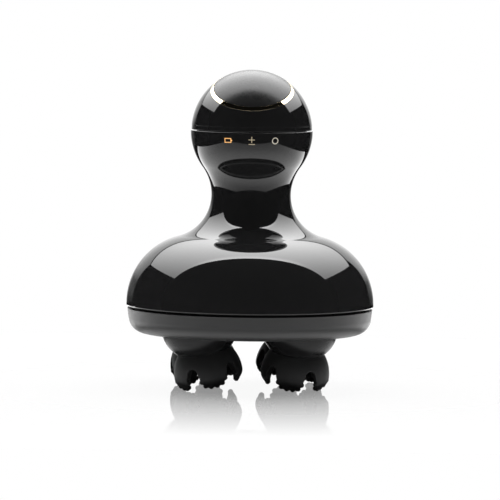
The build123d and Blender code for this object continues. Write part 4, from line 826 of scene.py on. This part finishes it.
button_edge, button_edge_angle = ball_edge(COVER_RADIUS, BUTTON_RADIUS, BUTTON_ROUNDING, 1)
button_inside = COVER_RADIUS - BUTTON_THICKNESS
skirt_top = sqrt(button_inside**2 - SKIRT_INNER**2)
button_section = (
    [straight((BUTTON_RADIUS, SKIRT_FOOT), (BUTTON_RADIUS, button_edge[1])),
     arc(button_edge, BUTTON_ROUNDING, 0, button_edge_angle, 8),
     arc((0, 0), COVER_RADIUS, button_edge_angle, pi / 2, 40),
     straight((0, COVER_RADIUS), (0, button_inside)),
     arc((0, 0), button_inside, pi / 2, atan2(skirt_top, SKIRT_INNER), 16)]
    + chain((SKIRT_INNER, skirt_top), (SKIRT_INNER, SKIRT_FOOT), (BUTTON_RADIUS, SKIRT_FOOT))
)
button = skin("button_cap", turned(button_section), button_place)
dress(button, "button_satin", "button", "power_button")

# ---- icons on the front: thin raised windows under the seam, lit from behind -----------------------------
ICON_DROP = 3.2 * MM
ICON_SPREAD = radians(22.5)
ICON_RAISE = 0.03 * MM
ICON_SINK = 0.1 * MM
ICON_STROKE = 0.32 * MM
BATTERY_WIDTH = 3.2 * MM
BATTERY_HEIGHT = 1.9 * MM
SIGN_WIDTH = 2.5 * MM
SIGN_HEIGHT = 3.2 * MM
CIRCLE_WIDTH = 2.7 * MM
CIRCLE_TILES = 28
icon_rise = -asin(ICON_DROP / BALL_RADIUS)


def raised(name, tiles, azimuth):
    """A thin closed plate on the ball over four-cornered tiles (across, up), at an azimuth from the front."""
    spots = {}
    for tile in tiles:
        for across, high in tile:
            spots.setdefault((round(across / MICRON), round(high / MICRON)), len(spots))
    faces = [[spots[round(across / MICRON), round(high / MICRON)] for across, high in tile] for tile in tiles]
    edges = [(face[n - 1], face[n]) for face in faces for n in range(4)]
    rim = [edge for edge in edges if edge[::-1] not in edges]
    count = len(spots)
    points = []
    for radius in (BALL_RADIUS + ICON_RAISE, BALL_RADIUS - ICON_SINK):
        for across, high in spots:
            turn = azimuth + across * MICRON / BALL_RADIUS
            rise = icon_rise + high * MICRON / BALL_RADIUS
            points.append((radius * sin(turn) * cos(rise), -radius * cos(turn) * cos(rise),
                           ball_level + radius * sin(rise)))
    under = [[count + n for n in reversed(face)] for face in faces]
    sides = [[b, a, count + a, count + b] for a, b in rim]
    mesh = bpy.data.meshes.new(name)
    mesh.from_pydata(points, [], faces + under + sides)
    return object_from(name, mesh)


def grid_tiles(columns, rows, picked):
    """Tiles of a grid by its lines, where a picture of rows (top first) has a hash."""
    tiles = []
    for line, text in enumerate(reversed(picked)):
        for place, mark in enumerate(text):
            if mark == "#":
                left, right, low, high = columns[place], columns[place + 1], rows[line], rows[line + 1]
                tiles.append([(left, low), (right, low), (right, high), (left, high)])
    return tiles


def ring_tiles(outer, inner):
    """Tiles of a flat ring."""
    angles = [n * 2 * pi / CIRCLE_TILES for n in range(CIRCLE_TILES)]
    return [[(r * cos(a), r * sin(a)) for r, a in ((inner, a), (outer, a), (outer, b), (inner, b))]
            for a, b in zip(angles, angles[1:] + angles[:1])]


half_stroke = ICON_STROKE / 2
battery_end = BATTERY_WIDTH / 2 - ICON_STROKE
battery_columns = [-BATTERY_WIDTH / 2, ICON_STROKE - BATTERY_WIDTH / 2, battery_end - ICON_STROKE,
                   battery_end, BATTERY_WIDTH / 2]
battery_rows = [-BATTERY_HEIGHT / 2, ICON_STROKE - BATTERY_HEIGHT / 2, -ICON_STROKE, ICON_STROKE,
                BATTERY_HEIGHT / 2 - ICON_STROKE, BATTERY_HEIGHT / 2]
battery_tiles = grid_tiles(battery_columns, battery_rows, ["### ", "# # ", "# ##", "# # ", "### "])
plus_middle = SIGN_HEIGHT / 2 - SIGN_WIDTH / 2
sign_columns = [-SIGN_WIDTH / 2, -half_stroke, half_stroke, SIGN_WIDTH / 2]
sign_rows = [-SIGN_HEIGHT / 2, ICON_STROKE - SIGN_HEIGHT / 2, plus_middle - SIGN_WIDTH / 2 + half_stroke,
             plus_middle - half_stroke, plus_middle + half_stroke, SIGN_HEIGHT / 2]
sign_tiles = grid_tiles(sign_columns, sign_rows, [" # ", "###", " # ", "   ", "###"])
circle_tiles = ring_tiles(CIRCLE_WIDTH / 2, CIRCLE_WIDTH / 2 - ICON_STROKE)
for name, tiles, azimuth, slot_name in (("icon_battery", battery_tiles, -ICON_SPREAD, "champagne_gold"),
                                        ("icon_plus_minus", sign_tiles, 0.0, "led_white"),
                                        ("icon_circle", circle_tiles, ICON_SPREAD, "led_white")):
    icon = dress(raised(name, tiles, azimuth), slot_name, "housing")
    icon.data.materials[0] = icon_lights[name]

# ---- charging port: the pocket, hinge notch and socket slot behind the rear flap ---------------------------
PORT_CLEARANCE = 0.25 * MM
FLAP_WIDTH = 12.0 * MM
FLAP_HEIGHT = 6.4 * MM
FLAP_CORNER = 1.2 * MM
FLAP_SEAT = 23.15 * MM
HINGE_DROP = 3.65 * MM
HINGE_RISE = 23.3 * MM
HINGE_RADIUS = 0.9 * MM
HINGE_CLEARANCE = 0.15 * MM
HINGE_MARGIN = 1.0 * MM
SOCKET_WIDTH = 8.94 * MM
SOCKET_HEIGHT = 3.2 * MM
SLOT_START = 19.6 * MM  # from the ball's middle, inside its wall
PORT_BEYOND = 46.3 * MM  # well outside the ball
CORNER_STEPS = 6
HINGE_FACETS = 32
socket_low, socket_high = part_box("charging_socket")
socket_level = (socket_low.z + socket_high.z) / 2
port_dip = (ball_level - socket_level) / BALL_RADIUS
port_reach = sqrt(1 - port_dip**2)
port_place = Matrix(((-1, 0, 0, 0), (0, port_dip, port_reach, 0), (0, port_reach, -port_dip, ball_level),
                     (0, 0, 0, 1)))


def rounded_outline(width, height, corner):
    """An outline of a rectangle with round corners."""
    points = []
    for quarter in range(4):
        way = quarter * pi / 2
        side_x = 1 if quarter in (0, 3) else -1
        side_y = 1 if quarter in (0, 1) else -1
        for a in np.linspace(way, way + pi / 2, CORNER_STEPS):
            points.append((side_x * (width / 2 - corner) + corner * cos(a),
                           side_y * (height / 2 - corner) + corner * sin(a)))
    return points


notch_half = FLAP_WIDTH / 2 - HINGE_MARGIN
notch_low = -HINGE_DROP - HINGE_RADIUS - HINGE_MARGIN / 2
notch_high = -HINGE_DROP + HINGE_RADIUS + HINGE_MARGIN / 2
notch_outline = [(-notch_half, notch_low), (notch_half, notch_low), (notch_half, notch_high),
                 (-notch_half, notch_high)]
pocket_outline = rounded_outline(FLAP_WIDTH + 2 * PORT_CLEARANCE, FLAP_HEIGHT + 2 * PORT_CLEARANCE,
                                 FLAP_CORNER + PORT_CLEARANCE)
slot_outline = rounded_outline(SOCKET_WIDTH + 2 * PORT_CLEARANCE, SOCKET_HEIGHT + 2 * PORT_CLEARANCE,
                               SOCKET_HEIGHT / 2)
hinge_bore = HINGE_RADIUS + HINGE_CLEARANCE
hinge_angles = np.arange(HINGE_FACETS) * 2 * pi / HINGE_FACETS
hinge_round = [(hinge_bore * cos(a), hinge_bore * sin(a)) for a in hinge_angles]
hinge_place = port_place @ Matrix.Translation((0, -HINGE_DROP, HINGE_RISE)) @ Matrix.Rotation(pi / 2, 4, "Y")
slot_place = Matrix(((-1, 0, 0, 0), (0, 0, 1, 0), (0, 1, 0, socket_level), (0, 0, 0, 1)))
smooth_housing = housing.data.copy()
cut(housing, [
    prism("pocket", pocket_outline, FLAP_SEAT, PORT_BEYOND, port_place),
    prism("notch", notch_outline, FLAP_SEAT, PORT_BEYOND, port_place),
    prism("hinge", hinge_round, -notch_half, notch_half, hinge_place),
    prism("socket_slot", slot_outline, SLOT_START, PORT_BEYOND, slot_place),
])
restore_normals(housing, smooth_housing)

# ---- base pan: the solid, with its outer rim set down ------------------------------------------------------
pan = object_from("pan_shell", frame["nodes"]["base_pan"].data.copy())
smooth_pan = pan.data.copy()
weld(pan.data)
rim_level = pan_rim - RIM_DROP
rim_reach = base_radius + WALL
rim_section = chain((RIM_INNER, rim_level), (rim_reach, rim_level), (rim_reach, housing_foot),
                    (RIM_INNER, housing_foot), (RIM_INNER, rim_level))
cut(pan, [skin("rim", turned(rim_section))])
restore_normals(pan, smooth_pan)
dress(pan, "pan_satin", "housing", "base_pan")

# ---- heads: cups with a fine rounded edge, and silicone claws with curled, lobed toes ---------------------
cup_face = sqrt(CUP_RADIUS**2 - CUP_FACE_DROP**2)


def head_frame(spot):
    """The frame of a head at a place, with X the way that it leans."""
    return Matrix.Translation(spot) @ Matrix.Rotation(atan2(-spot.y, -spot.x) - HEAD_SWING, 4, "Z")


def make_cup(name, upright):
    """A ball-shaped cup: level rim, leaning face, hollow from above."""
    leaning = upright @ Matrix.Rotation(-HEAD_LEAN, 4, "Y")
    middle = np.array(upright.translation)
    level, lean = circles(upright), circles(leaning)
    inside = CUP_RADIUS - CUP_WALL
    floor_rise = CUP_FLOOR - CUP_FACE_DROP
    face_centre = sqrt((CUP_RADIUS - CUP_EDGE) ** 2 - (CUP_FACE_DROP - CUP_EDGE) ** 2)
    face_angle = atan2(-(CUP_FACE_DROP - CUP_EDGE), face_centre)
    rim_centre = sqrt((CUP_RADIUS - CUP_EDGE) ** 2 - (CUP_CROWN - CUP_EDGE) ** 2)
    rim_angle = atan2(CUP_CROWN - CUP_EDGE, rim_centre)
    face_edge = rounding(lean, (face_centre, -CUP_FACE_DROP + CUP_EDGE), CUP_EDGE, -pi / 2, face_angle, 6)
    rim_edge = rounding(level, (rim_centre, CUP_CROWN - CUP_EDGE), CUP_EDGE, rim_angle, pi / 2, 6)
    inner_rim = level(sqrt(inside**2 - CUP_CROWN**2), CUP_CROWN)
    inner_foot = lean(sqrt(inside**2 - floor_rise**2), floor_rise)
    hollow, hollow_normals = sphere_patch(inner_rim, inner_foot, 20, middle)
    return skin(name, [
        facet(lean(CUP_BORE, -CUP_FACE_DROP), face_edge[0][0]),
        face_edge,
        sphere_patch(face_edge[0][-1], rim_edge[0][0], 32, middle),
        rim_edge,
        facet(rim_edge[0][-1], inner_rim),
        (hollow, -hollow_normals),
        *facets([inner_foot, lean(CUP_BORE, floor_rise), lean(CUP_BORE, -CUP_FACE_DROP)]),
    ])


def bowed(start, end, bulge, steps=12):
    """A stretch of a section that bows to the right of its way."""
    start, end = np.array(start), np.array(end)
    share = np.linspace(0, 1, steps + 1)[:, None]
    way = (end - start) / np.hypot(*(end - start))
    right = np.array([way[1], -way[0]])
    points = start + (end - start) * share + right * bulge * 4 * share * (1 - share)
    return np.hstack([points, np.tile(right, (steps + 1, 1))])


claw_root = cup_face - CLAW_INSET
claw_tip = claw_root + CLAW_FLARE
claw_foot = -CUP_FACE_DROP - CLAW_LENGTH + LOBE_DIP
bell_foot = -CUP_FACE_DROP - CLAW_BELL
toe_height = CLAW_LENGTH - LOBE_DIP - CLAW_BELL
toe_curl = (TOE_INSET**2 + toe_height**2) / (2 * TOE_INSET)
toe_reach = claw_tip - TOE_INSET
toe_end = asin(toe_height / toe_curl)
gap_foot = toe_reach * sin(pi / CLAW_FINGERS) - TOE_WIDTH / 2 * cos(pi / CLAW_FINGERS)
roof_level = -CUP_FACE_DROP - CLAW_ROOF
hollow_top = (claw_root - CLAW_WALL + ROOF_CORNER_INSET, roof_level - ROOF_CORNER_DROP)
roof_edge = (hollow_top[0] - ROOF_CORNER_RUN, roof_level)


def claw_bell():
    """The claw before its gaps are cut: a bell whose foot curls in."""
    section = (
        [bowed((claw_root, -CUP_FACE_DROP), (claw_tip, bell_foot), -CLAW_BULGE),
         arc((claw_tip - toe_curl, bell_foot), toe_curl, 0.0, -toe_end, 8),
         straight((toe_reach, claw_foot), (toe_reach - TOE_THICKNESS, claw_foot)),
         bowed((toe_reach - TOE_THICKNESS, claw_foot), hollow_top, CLAW_HOLLOW_BULGE)]
        + chain(hollow_top, roof_edge, (CLAW_BORE, roof_level), (CLAW_BORE, -CUP_FACE_DROP),
                (claw_root, -CUP_FACE_DROP))
    )
    return skin("claw_mould", turned(section, CLAW_TURNS))


def gap_outline():
    """Half of a gap between two fingers, from its arched top down, then mirrored."""
    arch = [(GAP_ARCH_WIDTH / 2 * sin(a), -CUP_FACE_DROP - GAP_SHOULDER + (GAP_SHOULDER - GAP_TOP) * cos(a))
            for a in np.linspace(0, pi / 2, 8)]
    corner_top = (gap_foot, claw_foot + TOE_CORNER_RISE)
    corner_end = (gap_foot + TOE_CORNER_RUN, claw_foot - TOE_CORNER_DIP)
    corner = [tuple(row[:2]) for row in bowed(corner_top, corner_end, TOE_CORNER_BULGE, 6)]
    well_below = (corner_end[0], claw_foot - GAP_TOP)
    half = arch + corner + [well_below]
    return half + [(-x, z) for x, z in reversed(half[1:])]


def spoke(angle):
    """A frame with Z outwards at an angle about the claw's axis, and Y up."""
    outwards = Vector((cos(angle), sin(angle), 0))
    sideways = Vector((-sin(angle), cos(angle), 0))
    return Matrix((sideways, (0, 0, 1), outwards)).transposed().to_4x4()


def claw_mesh():
    """One claw, upright about its cup's centre, as a single soft moulding."""
    claw = claw_bell()
    finger_angles = [finger * 2 * pi / CLAW_FINGERS for finger in range(CLAW_FINGERS)]
    cut(claw, [prism("gap", gap_outline(), 0.0, 2 * claw_tip, spoke(angle + pi / CLAW_FINGERS))
               for angle in finger_angles])
    mould = bmesh.new()
    mould.from_mesh(claw.data)
    for angle in finger_angles:
        for across, lift in LOBES + [(-across, lift) for across, lift in LOBES]:
            level = claw_foot - LOBE_DIP + LOBE_RADIUS + lift
            drop = max(bell_foot - level, 0.0)
            reach = claw_tip - toe_curl + sqrt(toe_curl**2 - drop**2) - LOBE_RADIUS + LOBE_PROUD
            place = spoke(angle) @ Matrix.Translation((across, level, sqrt(reach**2 - across**2)))
            bmesh.ops.create_icosphere(mould, subdivisions=3, radius=LOBE_RADIUS, matrix=place)
    mould.to_mesh(claw.data)
    mould.free()
    remesh = claw.modifiers.new("mould", "REMESH")
    remesh.mode = "VOXEL"
    remesh.voxel_size = CLAW_GRAIN
    remesh.use_smooth_shade = True
    smooth = claw.modifiers.new("soften", "SMOOTH")
    smooth.iterations = CLAW_SOFTENING
    bake(claw)
    mesh = claw.data
    bpy.data.objects.remove(claw)
    return mesh


claw_form = claw_mesh()
for name, spot in head_centres.items():
    short = name.removeprefix("head_")
    upright = head_frame(spot)
    dress(make_cup("cup_shell_" + short, upright), "cup_semi_gloss", name, "cup_" + short)
    diagonal = 1 if spot.x * spot.y > 0 else -1
    finger_turn = HEAD_SWING + diagonal * FINGER_TURN
    claw = object_from("claw_skin_" + short, claw_form.copy())
    claw.data.transform(upright @ Matrix.Rotation(-HEAD_LEAN, 4, "Y") @ Matrix.Rotation(finger_turn, 4, "Z"))
    dress(claw, "claw_silicone", name, "claw_" + short)
